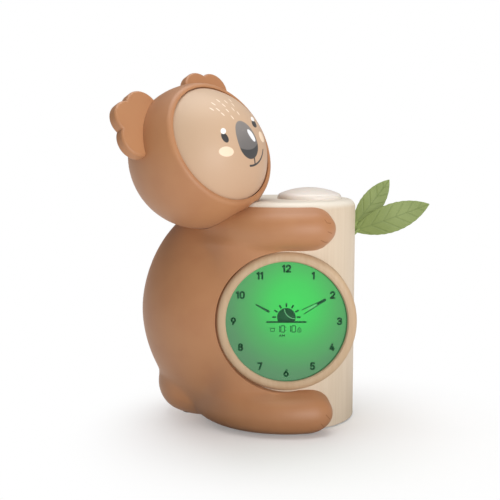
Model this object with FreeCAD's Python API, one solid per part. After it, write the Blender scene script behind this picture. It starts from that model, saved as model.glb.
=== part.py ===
import FreeCAD, Part
import math
import os

# Koala alarm clock with night light. Millimetres, +Z up, origin on the trunk's axis at table height.
# -Y is the display's side and -X is the koala's side.

# Clearances
slip_gap = 0.1              # between pieces stacked face to face
close_gap = 0.2             # round a piece in its seat
free_gap = 0.3              # round a piece in a hole

# Trunk
trunk_radius = 36.5
trunk_wall = 2.4
trunk_top_wall = 2.6
trunk_top_round = 4.2
trunk_foot = 0.6            # height of the sleeve's lower edge above the table
cover_to_top = 8.1          # from the rear window's upper edge to the trunk's top

# Display ring and what it holds, by distance in front of the trunk's axis
dial_height = 55.1
ring_radius = 34.1
ring_front = 38.5
ring_round = 3.0
ring_lip = 1.9              # thickness of the lip in front of the lens
ring_chamfer = 0.6
ring_spigot_wall = 0.9
dial_radius = 29.4          # visible opening
lens_thickness = 1.5
lens_overlap = 0.7          # how far the lens reaches behind the lip
lcd_thickness = 2.2
diffuser_thickness = 3.2
diffuser_inset = 1.6
frame_depth = 8.6
reflector_depth = 2.2
reflector_rim = 2.0
frame_rim = 4.5
light_board_thickness = 1.6
led_size = 3.0
led_height = 1.0
led_ring = 14.0
led_count = 6

# Main board behind the display
board_thickness = 1.6
main_board_side = 46.0
standoff_length = 5.0
standoff_radius = 2.0
board_chips = ((-5, 5, -6, 4, 1.4), (8, 13, 6, 12, 1.2), (-14, -9, 8, 10.5, 2.6))   # sides and height of each
capacitor_at = (-10.0, -12.0)
capacitor_radius = 3.2
capacitor_length = 7.5

# Dome button on the trunk's top
dome_x = 12.9
dome_y = -1.0
dome_radius = 16.4
dome_rise = 5.2
dome_stand = 0.5            # straight edge above the trunk's top
dome_edge_round = 2.4
dome_wall = 1.8
dome_gap = 0.3
dome_flange = 1.5
dome_flange_thickness = 1.2
dome_travel = 1.6
dome_stem_radius = 2.0
dome_collar_radius = 7.6    # mean radius of the spring's seat, and of the spring
dome_collar_wall = 1.6
spring_wire = 0.7
spring_length = 8.8
spring_turns = 4
switch_height = 4.3
switch_side = 6.0
switch_plunger = 0.7
switch_plunger_radius = 1.7
top_board_width = 18.0
top_post_radius = 2.6
top_post_gap = 0.6
spring_drop = 2.6           # from the trunk's ceiling down to the spring's seat

# Rear cover and its window
window_half = 21.7
window_low = 7.0
window_round = 3.0
ledge_width = 3.0
ledge_thickness = 2.3
cover_gap = 0.3
cover_screw_x = 11.0
cover_screw_inset = 2.9      # from the window's upper and lower edges
cover_screw_depth = 1.4      # of the heads' seats under the cover's face
cover_boss_length = 6.0

# Battery bay, for three AAA cells side by side
cell_radius = 5.25
cell_length = 44.5
cell_pitch = 11.0
cell_count = 3
cell_depth = 24.5           # distance of the cells' axes behind the trunk's axis
contact_space = 1.5
contact_thickness = 0.4
contact_half = 4.0
contact_height = 8.5
contact_rise = 0.5           # off the bay's floor
cell_tip_radius = 1.9
cell_tip = 1.0
bay_rise = 6.6              # from the window's lower edge to the bay's
tray_wall = 1.5
bay_side_gap = 0.65
door_gap = 0.3
door_margin = 1.0            # beside the bay
door_foot = 0.5              # below the bay
door_corner = 1.0
door_tab = 4.9              # height of the lid above the bay, where its screw is
door_screw_drop = 2.7
door_boss_floor = 2.0

# Rear controls
rear_board_face = 23.6
rear_board_gap = 0.5        # above the battery door
rear_board_margin = 2.6     # from the sockets' row to the board's upper edge
rear_board_half = 17.5
board_post_x = 15.9
board_post_rise = 4.6       # above the buttons' row
button_rise = 4.5           # from the board's lower edge to the buttons' row
button_pitch = 7.6
button_radius = 2.9
button_gap = 0.2
button_flange = 0.6
button_flange_thickness = 0.9
button_guide_wall = 0.6
button_travel = 0.7
button_proud = 1.1
button_round = 0.5
tact_side = 5.2
tact_height = 3.5
tact_plunger = 0.8
tact_plunger_radius = 1.5
socket_rise = 8.0           # from the buttons' row to the sockets' row
usb_x = -8.0
usb_width = 9.0
usb_height = 3.3
usb_wall = 0.35
usb_mouth = 34.4            # distance of its mouth behind the trunk's axis
usb_depth = 7.0
usb_tongue = (6.6, 0.7)     # its width and thickness
usb_tongue_back = 0.9       # behind the socket's mouth
slide_x = 8.0
slide_body_width = 8.6
slide_body_height = 3.6
slide_body_depth = 3.8
slide_floor = 1.4
knob_width = 2.4
knob_height = 2.2
knob_travel = 3.0
knob_proud = 0.8
knob_round = 0.3

# Speaker
speaker_rise = 3.0          # from the sockets' row to the speaker's lower edge
speaker_radius = 9.0
speaker_headroom = 4.5      # from the speaker's upper edge to the window's
speaker_front = 31.5
speaker_depth = 3.0
speaker_floor = 0.8         # thickness behind the cone
speaker_magnet_radius = 6.0
speaker_magnet_depth = 4.0
speaker_cone_inset = 1.2
speaker_cone_throat = 3.0
speaker_cap_radius = 3.2
speaker_cap_back = 3.4      # from the speaker's front to the cap's centre
speaker_ring_wall = 1.2
speaker_ring_length = 5.0
grille_hole = 0.8
grille_pitch = 3.0

# Base
base_thickness = 2.6
base_pad_thickness = 1.0
base_pad_inset = 0.7
base_boss_radius = 3.8
base_boss_height = 8.4
base_boss_overlap = 0.3     # of the bosses into the trunk's wall

# Screws
screw_radius = 1.0
screw_head_radius = 2.0
screw_head = 1.1
screw_head_round = 0.4
screw_clearance = 0.3
thread_clearance = 0.05
screw_boss_radius = 2.1
screw_length = 7.0
short_screw_length = 5.5
board_screw_length = 5.0
body_screw_shank = 9.0
screw_seat_gap = 0.1        # between a flat head and the curved wall behind it

# Koala body, by distance from the trunk's axis
vinyl_wall = 2.4
hug_gap = 0.3
ring_gap = 0.4              # between the ring and the paws
arm_drop = 12.8             # from the trunk's top down to the arms' centre line
arm_radius = 9.5
arm_axis = 37.1             # distance of the arm's centre line from the trunk's axis
arm_tip = 307.3             # azimuth of the near arm's tip, in degrees
leg_radius = 9.9
leg_axis = 38.6
leg_tip = 304.6
tip_stretch = 1.3           # length of a near limb's rounded tip over its radius
near_leg_start = 175.0
hip_radius = 16.8           # the far leg's haunch shows behind the near leg
hip_axis = 49.0
hip_azimuth = 180.0
belly_front = 40.0
belly_radius = 48.0
belly_end = 276.0
back_axis = 34.0
back_forward = 1.8
back_radius = 39.8
back_power = 1.85
back_drop = 1.3             # of the back's widest level below the trunk's middle
far_limb_end = 129.0        # azimuth where the far limbs end
far_leg_lean = 34.0         # degrees over which the torso fades in beside them
blend_size = 2.6
cleft_size = 0.9
core_radius = 30.6          # of the core inside the hug, which is cut away
body_step = 3.0             # degrees between the surface's rows of points
body_rows = 66              # rows round the koala
core_rows = 11              # rows round the rest of the core
body_rise = 1.75
body_low = -4.0
body_foot = 0.6
body_boss_radius = 4.0
body_screw_azimuth = 195.0
body_screw_heights = (25.0, 55.0, 85.0)
body_screw_length = 10.0
rump_pad_radius = 4.0

# Head
head_at = (-41.7, -20.0)
head_rise = 21.6            # of the head's centre above the trunk's top
head_radius = 35.5
head_wall = 2.5
head_gap = 0.15
face_direction = (0.650, -0.647, 0.399)
face_roll = 16.2            # lean of the face and ears, in degrees
rim_plane = 17.0
rim_round = 2.7
rim_radius = 29.2
rim_ledge = 2.8
rim_ledge_thickness = 2.2
face_gap = 0.3
face_edge = 16.1            # height of the face's edge above the head's centre, out of the face
face_dome_radius = 34.6
face_wall = 2.0
face_skirt = 3.4
face_lift = 0.05             # between the skirt and its ledge
ear_thickness = 5.8
ear_round = 1.3
ear_front = 2.0             # distance of the ears' front faces before the head's centre
# The ears' lobes, each by its place sideways and upwards on the face, and its radius
ear_lobes = ((21.3, 30.6, 9.9), (31.1, 29.2, 8.6), (33.2, 18.8, 8.9), (25.5, 24.0, 10.5))
ear_peg_radius = 1.9
ear_peg_length = 6.0
ear_peg_reach = 3.0          # of the peg into the ear
ear_gap = 0.05               # between the ears and the head
neck_at = (-40.6, -11.6)
neck_radius = 4.0
neck_below_arm = 13.8       # from the arms' centre line down to the post's foot
neck_above_arm = 5.2
neck_wall = 2.4

# Leaves
leaf_thickness = 1.2
leaf_dish = 90.0
leaf_widest = 0.46           # share of the length from the base to where the leaf is widest
leaf_tip_round = 0.5
stalk_radius = 0.9
stalk_overlap = 3.5          # how far the stalk runs along the blade
stalk_spacing = 1.5         # of each stalk from the stem's axis
stem_azimuth = 15.5
stem_drop = 18.6            # from the trunk's top down to the stem
stem_radius = 1.6
stem_collar_radius = 2.6
stem_collar = 1.4
stem_inside = 6.0
stem_gap = 0.1
stalk_gap = 0.05             # between the stem's collar and the stalks
leaf_upper_base = (37.6, 13.6, 2.6)      # heights from the stem's axis
leaf_upper_tip = (57.3, 16.2, 28.1)
leaf_upper_width = 12.0
leaf_side_base = (37.2, 10.6, 0.2)
leaf_side_tip = (79.2, 13.0, 14.9)
leaf_side_width = 15.2

V = FreeCAD.Vector
UP = V(0, 0, 1)
BACK = V(0, 1, 0)
big = 200.0                 # reach of a cutting tool past the part
inner_radius = trunk_radius - trunk_wall

# Heights of the rear rows, each from the one below it, and the trunk's height from the uppermost
bay_low = window_low + bay_rise
bay_high = bay_low + cell_length + 2 * contact_space
door_z = (bay_low - door_foot, bay_high + door_tab)
rear_board_low = door_z[1] + rear_board_gap
button_row = rear_board_low + button_rise
socket_row = button_row + socket_rise
rear_board_high = socket_row + rear_board_margin
speaker_height = socket_row + speaker_rise + speaker_radius
window_high = speaker_height + speaker_radius + speaker_headroom
trunk_height = window_high + cover_to_top
ceiling = trunk_height - trunk_top_wall
arm_height = trunk_height - arm_drop
stem_height = trunk_height - stem_drop
back_half_height = trunk_height / 2 - back_drop
neck_low = arm_height - neck_below_arm
neck_high = arm_height + neck_above_arm


def box(x, y, z):
    """A box from its ranges along X, Y and Z."""
    return Part.makeBox(x[1] - x[0], y[1] - y[0], z[1] - z[0], V(x[0], y[0], z[0]))


def rod(radius, low, high, x=0.0, y=0.0):
    """An upright cylinder."""
    return Part.makeCylinder(radius, high - low, V(x, y, low), UP)


def bolt(radius, near, far, x=0.0, z=0.0):
    """A cylinder along Y."""
    return Part.makeCylinder(radius, far - near, V(x, near, z), BACK)


def panel(x, y, z, corner):
    """A box with its four edges along Y rounded."""
    blank = box(x, y, z)
    edges = [e for e in blank.Edges if abs(e.tangentAt(e.FirstParameter).y) > 0.9]
    return blank.makeFillet(corner, edges)


def turned(outline):
    """A solid turned about Z. A point has two numbers, and an arc has four: a point on it and its end."""
    edges = []
    last = V(outline[0][0], 0, outline[0][1])
    for step in list(outline[1:]) + [outline[0][:2]]:
        end = V(step[-2], 0, step[-1])
        if len(step) == 4:
            edges.append(Part.Arc(last, V(step[0], 0, step[1]), end).toShape())
        elif (end - last).Length > 1e-6:
            edges.append(Part.LineSegment(last, end).toShape())
        last = end
    return Part.Face(Part.Wire(edges)).revolve(V(0, 0, 0), UP, 360)


def arc_point(radius, angle, x=0.0, z=0.0):
    """A point of a circle in the turning plane, by its angle in degrees from the outward direction."""
    return (x + radius * math.cos(math.radians(angle)), z + radius * math.sin(math.radians(angle)))


def polar(radius, azimuth, z=0.0):
    """A point by its distance from the trunk's axis, azimuth in degrees and height."""
    return V(radius * math.cos(math.radians(azimuth)), radius * math.sin(math.radians(azimuth)), z)


def towards_front(shape):
    """Lays a piece turned about Z on the display's axis, with its +Z towards the front."""
    shape = shape.copy()
    shape.rotate(V(0, 0, 0), V(1, 0, 0), 90)
    shape.translate(V(0, 0, dial_height))
    return shape


def save(name, *pieces):
    """Writes one node, which may be a group of separate solids."""
    shape = pieces[0] if len(pieces) == 1 else Part.makeCompound(list(pieces))
    shape.exportStep("parts/" + name + ".step")
    state = "valid" if shape.isValid() else "BROKEN"
    print(name, len(shape.Solids), "solids", round(shape.Volume, 1), "mm3", state)


# Trunk

def trunk_form(grow=0.0, low=trunk_foot):
    """The trunk's outside, a cylinder with a rounded top edge, grown by a distance."""
    radius = trunk_radius + grow
    top = trunk_height + grow
    turn = trunk_top_round + grow
    corner = arc_point(turn, 45, radius - turn, top - turn)
    return turned([(0, low), (radius, low), (radius, top - turn), corner + (radius - turn, top), (0, top)])


def shell_band(outer, inner, x, z, corner):
    """A curved panel of the trunk's wall at the back, between two radii."""
    band = rod(outer, z[0] - 1, z[1] + 1).cut(rod(inner, z[0] - 2, z[1] + 2))
    return band.common(panel(x, (0, big), z, corner))


dome_hole = dome_radius + dome_gap
ledge_inner = inner_radius - ledge_thickness
window_x = (-window_half, window_half)
window_z = (window_low, window_high)
cover_x = (-window_half + cover_gap, window_half - cover_gap)
cover_z = (window_low + cover_gap, window_high - cover_gap)
top_post_reach = dome_radius + dome_flange + top_post_gap + top_post_radius
top_posts = [(dome_x, dome_y - top_post_reach), (dome_x, dome_y + top_post_reach)]
spring_top = ceiling - spring_drop
top_board_face = spring_top - spring_length
base_face = base_pad_thickness + base_thickness
base_screw_azimuths = (30.0, 150.0, 270.0)
base_screw_ring = inner_radius - base_boss_radius + base_boss_overlap
cover_screw_heights = (window_low + cover_screw_inset, window_high - cover_screw_inset)
cover_screws_at = [(side * cover_screw_x, z) for side in (-1, 1) for z in cover_screw_heights]
cover_screw_seat = math.sqrt(trunk_radius ** 2 - cover_screw_x ** 2) - cover_screw_depth
cover_boss_end = cover_screw_seat - cover_boss_length
stem_out = polar(1.0, stem_azimuth)
collar_face = trunk_radius + stem_gap + stem_collar + stalk_gap


def trunk_sleeve():
    """An inverted cup with the display opening, dome hole, rear window and bosses."""
    turn = trunk_top_round - trunk_wall
    corner = arc_point(turn, 45, inner_radius - turn, ceiling - turn)
    inside = turned([(0, trunk_foot - 1), (inner_radius, trunk_foot - 1), (inner_radius, ceiling - turn),
                     corner + (inner_radius - turn, ceiling), (0, ceiling)])
    sleeve = trunk_form().cut(inside)
    spigot_radius = dial_radius + lens_overlap + ring_spigot_wall + free_gap
    sleeve = sleeve.cut(bolt(spigot_radius, -big, 0, 0, dial_height))
    sleeve = sleeve.cut(rod(dome_hole, ceiling - 1, trunk_height + 1, dome_x, dome_y))
    sleeve = sleeve.cut(panel(window_x, (0, big), window_z, window_round))
    wide_x = (-window_half - ledge_width, window_half + ledge_width)
    wide_z = (window_low - ledge_width, window_high + ledge_width)
    slim_x = (-window_half + ledge_width, window_half - ledge_width)
    slim_z = (window_low + ledge_width, window_high - ledge_width)
    ledge = shell_band(inner_radius + 0.2, ledge_inner, wide_x, wide_z, window_round + ledge_width)
    opening = panel(window_x, (0, big), window_z, window_round)
    ledge = ledge.cut(opening.cut(rod(inner_radius, -1, trunk_height + 1)))
    ledge = ledge.cut(panel(slim_x, (0, big), slim_z, 1.0))
    sleeve = sleeve.fuse(ledge)
    for x, z in cover_screws_at:
        boss = bolt(screw_boss_radius, cover_boss_end, inner_radius, x, z)
        boss = boss.common(rod(ledge_inner + 0.4, 0, trunk_height))
        sleeve = sleeve.fuse(boss)
    for x, y in top_posts:
        sleeve = sleeve.fuse(rod(top_post_radius, top_board_face, ceiling + 0.5, x, y))
    for azimuth in base_screw_azimuths:
        at = polar(base_screw_ring, azimuth)
        boss = rod(base_boss_radius, base_face, base_face + base_boss_height, at.x, at.y)
        sleeve = sleeve.fuse(boss.common(rod(trunk_radius - 1, 0, trunk_height)))
    thread = screw_radius + thread_clearance
    pilots = [bolt(thread, cover_boss_end - 1, big, x, z) for x, z in cover_screws_at]
    pilots += [rod(thread, top_board_face - 1, ceiling - 2, x, y) for x, y in top_posts]
    for azimuth in base_screw_azimuths:
        at = polar(base_screw_ring, azimuth)
        end = base_face + base_boss_height - 1
        pilots.append(rod(thread, base_face - 1, end, at.x, at.y))
    for z in body_screw_heights:
        start = polar(inner_radius - 4, body_screw_azimuth, z)
        hole = Part.makeCylinder(screw_radius + screw_clearance, 12, start, polar(1, body_screw_azimuth))
        pilots.append(hole)
    stem_start = polar(trunk_radius - stem_inside - 1, stem_azimuth, stem_height)
    pilots.append(Part.makeCylinder(stem_radius + thread_clearance, stem_inside + 4, stem_start, stem_out))
    return sleeve.cut(pilots).removeSplitter()


def base_plate():
    """The disc that closes the trunk's foot."""
    plate = rod(inner_radius - close_gap, base_pad_thickness, base_face)
    clearance = screw_radius + screw_clearance
    head = screw_head_radius + screw_clearance
    for azimuth in base_screw_azimuths:
        at = polar(base_screw_ring, azimuth)
        plate = plate.cut(rod(clearance, 0, base_face + 1, at.x, at.y))
        plate = plate.cut(rod(head, 0, base_pad_thickness + screw_head, at.x, at.y))
    return plate


def screw(head, direction, length, head_radius=screw_head_radius):
    """A pan-head screw from the seat of its head, pointing along a direction."""
    shank = Part.makeCylinder(screw_radius, length, head, direction)
    cap = Part.makeCylinder(head_radius, screw_head, head - direction * screw_head, direction)
    rim = [e for e in cap.Edges if e.Closed and (e.CenterOfMass - head).dot(direction) < -0.5 * screw_head]
    return shank.fuse(cap.makeFillet(screw_head_round, rim))


# Display

lens_radius = dial_radius + lens_overlap
lens_front = ring_front - ring_lip - slip_gap
lcd_front = lens_front - lens_thickness - slip_gap
frame_front = lcd_front - lcd_thickness - slip_gap
diffuser_radius = lens_radius - diffuser_inset
diffuser_back = frame_front - diffuser_thickness
frame_back = frame_front - frame_depth
reflector_back = diffuser_back - reflector_depth
light_board_radius = lens_radius - frame_rim - close_gap
main_board_front = frame_back - standoff_length
standoff_at = (lens_radius - 0.5 * frame_rim - slip_gap) / math.sqrt(2)
standoffs = [(sx * standoff_at, sz * standoff_at) for sx in (-1, 1) for sz in (-1, 1)]


def disc(radius, back, front):
    """A disc on the display's axis, between two distances in front of the trunk's axis."""
    return towards_front(rod(radius, back, front))


def bezel_ring():
    """The ring, with a saddle-shaped back on the trunk and a spigot that passes through its wall."""
    turn = arc_point(ring_round, 45, ring_radius - ring_round, ring_front - ring_round)
    bore = lens_radius + slip_gap
    lip = ring_front - ring_lip
    collar = turned([
        (dial_radius, lip), (dial_radius, ring_front - ring_chamfer),
        (dial_radius + ring_chamfer, ring_front),
        (ring_radius - ring_round, ring_front), turn + (ring_radius, ring_front - ring_round),
        (ring_radius, 0), (bore, 0), (bore, lip)])
    collar = towards_front(collar).cut(rod(trunk_radius, -1, trunk_height))
    outer = bore + ring_spigot_wall
    wall = math.sqrt(trunk_radius ** 2 - outer ** 2) + 0.5
    spigot = turned([(bore, wall), (bore, lip + 0.5), (outer, lip + 0.5), (outer, wall)])
    return collar.fuse(towards_front(spigot)).removeSplitter()


def display_frame():
    """Holds the diffuser in front, the light board behind and the main board on four posts."""
    rim = lens_radius - frame_rim
    pocket = diffuser_radius + slip_gap
    frame = turned([
        (lens_radius, frame_back), (lens_radius, frame_front), (pocket, frame_front), (pocket, diffuser_back),
        (rim - reflector_rim, diffuser_back), (rim - reflector_rim, reflector_back), (rim, reflector_back),
        (rim, frame_back)])
    for x, z in standoffs:
        post = rod(standoff_radius, main_board_front, frame_back + 0.5, x, z)
        pilot = rod(screw_radius + thread_clearance, main_board_front - 1, frame_back + 1.5, x, z)
        frame = frame.fuse(post).cut(pilot)
    return towards_front(frame)


def light_leds():
    """Coloured light sources in a ring on the light board."""
    leds = []
    for n in range(led_count):
        at = polar(led_ring, 360.0 * n / led_count)
        half = led_size / 2
        depth = (reflector_back, reflector_back + led_height)
        leds.append(towards_front(box((at.x - half, at.x + half), (at.y - half, at.y + half), depth)))
    return leds


def main_board():
    """A square board on the frame's posts."""
    half = main_board_side / 2
    board = box((-half, half), (-half, half), (main_board_front - board_thickness, main_board_front))
    clearance = screw_radius + screw_clearance
    for x, z in standoffs:
        board = board.cut(rod(clearance, main_board_front - 5, main_board_front + 1, x, z))
    return towards_front(board)


def main_chips():
    """A controller, a memory chip, a crystal and a capacitor on the board's back."""
    back = main_board_front - board_thickness
    chips = [box((x1, x2), (y1, y2), (back - tall, back)) for x1, x2, y1, y2, tall in board_chips]
    chips.append(rod(capacitor_radius, back - capacitor_length, back, *capacitor_at))
    return [towards_front(chip) for chip in chips]


# Dome button and its switch

def dome_arcs(inset):
    """The dome's profile from its top to its straight edge, at a depth under its face, then its arc's
    centre and radius."""
    base = trunk_height + dome_stand
    middle = dome_radius - dome_edge_round
    crown = (middle ** 2 + dome_rise ** 2 - dome_edge_round ** 2) / (2 * (dome_rise - dome_edge_round))
    centre = base + dome_rise - crown
    turn = math.degrees(math.atan2(base - centre, middle))
    edge = dome_edge_round - inset
    joint = arc_point(edge, turn, middle, base)
    top = (0, centre + crown - inset)
    return [top, arc_point(crown - inset, (turn + 90) / 2, 0, centre) + joint,
            arc_point(edge, turn / 2, middle, base) + (middle + edge, base)], centre, crown


def dome_button():
    """A low dome with a flange that holds it under the trunk's top, a stem and a spring seat."""
    outside, centre, crown = dome_arcs(0)
    inside = dome_arcs(dome_wall)[0]
    flange_radius = dome_radius + dome_flange
    flange_top = ceiling - close_gap
    flange_low = flange_top - dome_flange_thickness
    shell = turned(outside + [(dome_radius, flange_top), (flange_radius, flange_top),
                              (flange_radius, flange_low), (0, flange_low)])
    room = turned(inside + [(dome_radius - dome_wall, flange_low - 1), (0, flange_low - 1)])
    half = dome_collar_wall / 2
    under = centre + math.sqrt((crown - dome_wall / 2) ** 2 - (dome_collar_radius + half) ** 2)
    seat = rod(dome_collar_radius + half, spring_top, under)
    seat = seat.cut(rod(dome_collar_radius - half, spring_top - 1, under + 1))
    stem_end = top_board_face + switch_height + switch_plunger + dome_travel + close_gap
    stem = rod(dome_stem_radius, stem_end, centre + crown - dome_wall / 2)
    dome = shell.cut(room).fuse(seat).fuse(stem)
    dome.translate(V(dome_x, dome_y, 0))
    return dome


def dome_spring():
    """A compression spring between the top board and the dome's seat."""
    wire = spring_wire / 2
    low = top_board_face + wire
    rise = spring_length - spring_wire
    helix = Part.makeHelix(rise / spring_turns, rise, dome_collar_radius)
    start = V(dome_collar_radius, 0, 0)
    slope = rise / spring_turns / (2 * math.pi * dome_collar_radius)
    circle = Part.Wire(Part.Circle(start, V(0, 1, slope), wire).toShape())
    coil = Part.Wire(helix.Edges).makePipeShell([circle], True, True)
    coil.translate(V(dome_x, dome_y, low))
    return coil


def top_board():
    """A board across the two posts under the dome."""
    half = top_board_width / 2
    low = top_posts[0][1] - top_post_radius
    high = top_posts[1][1] + top_post_radius
    depth = (top_board_face - board_thickness, top_board_face)
    board = box((dome_x - half, dome_x + half), (low, high), depth)
    board = board.common(rod(ledge_inner - free_gap, 0, trunk_height))
    for x, y in top_posts:
        board = board.cut(rod(screw_radius + screw_clearance, 0, trunk_height, x, y))
    return board


def top_switch():
    """A push switch under the dome's stem."""
    half = switch_side / 2
    body = box((dome_x - half, dome_x + half), (dome_y - half, dome_y + half),
               (top_board_face, top_board_face + switch_height))
    top = top_board_face + switch_height + switch_plunger
    plunger = rod(switch_plunger_radius, top_board_face + 1, top, dome_x, dome_y)
    return body.fuse(plunger)


# Rear cover and its controls

bay_half = (cell_count - 1) / 2 * cell_pitch + cell_radius + bay_side_gap
bay_floor = cell_depth - cell_radius - slip_gap
door_x = (-bay_half - door_margin, bay_half + door_margin)
opening_x = (door_x[0] - door_gap, door_x[1] + door_gap)
opening_z = (door_z[0] - door_gap, door_z[1] + door_gap)
door_screw_z = door_z[1] - door_screw_drop
door_screw_seat = trunk_radius - cover_screw_depth
buttons_x = [button_pitch * (n - 1.5) for n in range(4)]
board_posts = [(side * board_post_x, button_row + board_post_rise) for side in (-1, 1)]
flange_face = rear_board_face + tact_height + tact_plunger + button_travel + close_gap
guide_end = flange_face + button_flange_thickness + close_gap
button_names = ("set_button", "plus_button", "minus_button", "alarm_button")


def rear_cover():
    """A curved panel with the battery opening, button guides, grille and sockets."""
    cover = shell_band(trunk_radius, inner_radius, cover_x, cover_z, window_round - cover_gap)
    inside = rod(inner_radius + 0.3, 0, trunk_height)
    cover = cover.cut(panel(opening_x, (0, big), opening_z, door_corner))
    guide_radius = button_radius + button_gap + button_guide_wall
    for x in buttons_x:
        cover = cover.fuse(bolt(guide_radius, guide_end, trunk_radius, x, button_row).common(inside))
    for x, z in board_posts:
        cover = cover.fuse(bolt(screw_boss_radius, rear_board_face, trunk_radius, x, z).common(inside))
    seat = speaker_radius + close_gap
    ring_end = speaker_front - speaker_ring_length
    holder = bolt(seat + speaker_ring_wall, ring_end, trunk_radius, 0, speaker_height)
    cover = cover.fuse(holder.cut(bolt(seat, 0, big, 0, speaker_height)).common(inside))
    cuts = [bolt(button_radius + button_gap, 0, big, x, button_row) for x in buttons_x]
    pilot = (screw_radius + thread_clearance, rear_board_face - 1, rear_board_face + board_screw_length - 1)
    cuts += [bolt(*pilot, x, z) for x, z in board_posts]
    usb_half = usb_width / 2 + free_gap
    usb_tall = usb_height / 2 + free_gap
    cuts.append(panel((usb_x - usb_half, usb_x + usb_half), (0, big),
                      (socket_row - usb_tall, socket_row + usb_tall), 1.8))
    slot_half = (knob_width + knob_travel) / 2 + free_gap
    slot_tall = knob_height / 2 + free_gap
    cuts.append(panel((slide_x - slot_half, slide_x + slot_half), (0, big),
                      (socket_row - slot_tall, socket_row + slot_tall), 0.8))
    cuts += grille_holes()
    for x, z in cover_screws_at:
        cuts.append(bolt(screw_radius + screw_clearance, 0, big, x, z))
        cuts.append(bolt(screw_head_radius + screw_clearance, cover_screw_seat, big, x, z))
    return cover.cut(cuts).removeSplitter()


def grille_holes():
    """Round holes in front of the speaker, in two rings about a centre hole."""
    places = [(0.0, 0.0)]
    for ring in (1, 2):
        places += [arc_point(grille_pitch * ring, 360.0 * n / (6 * ring)) for n in range(6 * ring)]
    return [bolt(grille_hole, inner_radius - 3, big, x, speaker_height + z) for x, z in places]


def rear_button(x):
    """A round button with a flange behind its guide."""
    top = math.sqrt(trunk_radius ** 2 - x ** 2) + button_proud
    cap = bolt(button_radius, flange_face, top, x, button_row)
    rim = [e for e in cap.Edges if e.Closed and e.CenterOfMass.y > top - 0.01]
    cap = cap.makeFillet(button_round, rim)
    return cap.fuse(bolt(button_radius + button_flange, flange_face, guide_end - close_gap, x, button_row))


def rear_board():
    """The board that carries the rear switches and sockets."""
    y = (rear_board_face - board_thickness, rear_board_face)
    board = box((-rear_board_half, rear_board_half), y, (rear_board_low, rear_board_high))
    return board.cut([bolt(screw_radius + screw_clearance, 0, big, x, z) for x, z in board_posts])


def rear_switches():
    """One push switch behind each button."""
    half = tact_side / 2
    switches = []
    for x in buttons_x:
        body = box((x - half, x + half), (rear_board_face, rear_board_face + tact_height),
                   (button_row - half, button_row + half))
        end = rear_board_face + tact_height + tact_plunger
        switches.append(body.fuse(bolt(tact_plunger_radius, rear_board_face + 1, end, x, button_row)))
    return switches


def usb_socket():
    """An upright power socket with its tongue."""
    def tube(width, height, near, far, corner):
        return panel((usb_x - width / 2, usb_x + width / 2), (near, far),
                     (socket_row - height / 2, socket_row + height / 2), corner)
    shell = tube(usb_width, usb_height, rear_board_face, usb_mouth, 1.55)
    floor = usb_mouth - usb_depth
    hollow = tube(usb_width - 2 * usb_wall, usb_height - 2 * usb_wall, floor, usb_mouth + 1, 1.2)
    tongue = tube(*usb_tongue, floor - 0.2, usb_mouth - usb_tongue_back, 0.2)
    return shell.cut(hollow).fuse(tongue)


def slide_switch():
    """The body of the on and off switch, with a slot for its lever."""
    half = slide_body_width / 2
    tall = slide_body_height / 2
    body = box((slide_x - half, slide_x + half), (rear_board_face, rear_board_face + slide_body_depth),
               (socket_row - tall, socket_row + tall))
    slot_half = (knob_width + knob_travel) / 2 + close_gap
    slot_tall = knob_height / 2 + close_gap
    slot = box((slide_x - slot_half, slide_x + slot_half), (rear_board_face + slide_floor, big),
               (socket_row - slot_tall, socket_row + slot_tall))
    return body.cut(slot)


def switch_knob():
    """The lever of the on and off switch, at the left end of its slot."""
    x = slide_x - knob_travel / 2
    half = knob_width / 2
    tall = knob_height / 2
    top = math.sqrt(trunk_radius ** 2 - x ** 2) + knob_proud
    low = rear_board_face + slide_floor + close_gap
    lever = box((x - half, x + half), (low, top), (socket_row - tall, socket_row + tall))
    rim = [e for e in lever.Edges if e.CenterOfMass.y > top - 0.01]
    return lever.makeFillet(knob_round, rim)


def speaker():
    """The speaker's basket and cone."""
    basket = bolt(speaker_radius, speaker_front - speaker_depth, speaker_front, 0, speaker_height)
    mouth = speaker_radius - speaker_cone_inset
    centre = V(0, speaker_front, speaker_height)
    cone = Part.makeCone(mouth, speaker_cone_throat, speaker_depth - speaker_floor, centre, -BACK)
    cap = Part.makeSphere(speaker_cap_radius, V(0, speaker_front - speaker_cap_back, speaker_height))
    return basket.cut(cone).fuse(cap.common(basket))


def battery_tray():
    """An open box for the cells, behind the cover."""
    half = bay_half + tray_wall
    tray = box((-half, half), (bay_floor - tray_wall, big), (bay_low - tray_wall, bay_high + tray_wall))
    boss = door_screw_seat - screw_length - door_boss_floor
    tray = tray.fuse(bolt(screw_boss_radius, boss, big, 0, door_screw_z))
    tray = tray.common(rod(inner_radius - close_gap, 0, trunk_height))
    tray = tray.cut(box((-bay_half, bay_half), (bay_floor, big), (bay_low, bay_high)))
    return tray.cut(bolt(screw_radius + thread_clearance, boss + door_boss_floor / 2, big, 0, door_screw_z))


cells_x = [cell_pitch * (n - (cell_count - 1) / 2) for n in range(cell_count)]


def battery_contacts():
    """A plate at each end of each cell."""
    plates = []
    for x in cells_x:
        for low in (bay_low, bay_high - contact_thickness):
            depth = (bay_floor + contact_rise, bay_floor + contact_rise + contact_height)
            plates.append(box((x - contact_half, x + contact_half), depth, (low, low + contact_thickness)))
    return plates


def battery_cells():
    """Three cells, turned end for end in turn."""
    cells = []
    for n, x in enumerate(cells_x):
        low = bay_low + contact_space
        start = low + (cell_tip if n % 2 else 0)
        can = rod(cell_radius, start, start + cell_length - cell_tip, x, cell_depth)
        tip = rod(cell_tip_radius, low - cell_tip, low + cell_length + cell_tip, x, cell_depth)
        cells.append(can.fuse(tip))
    return cells


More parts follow.
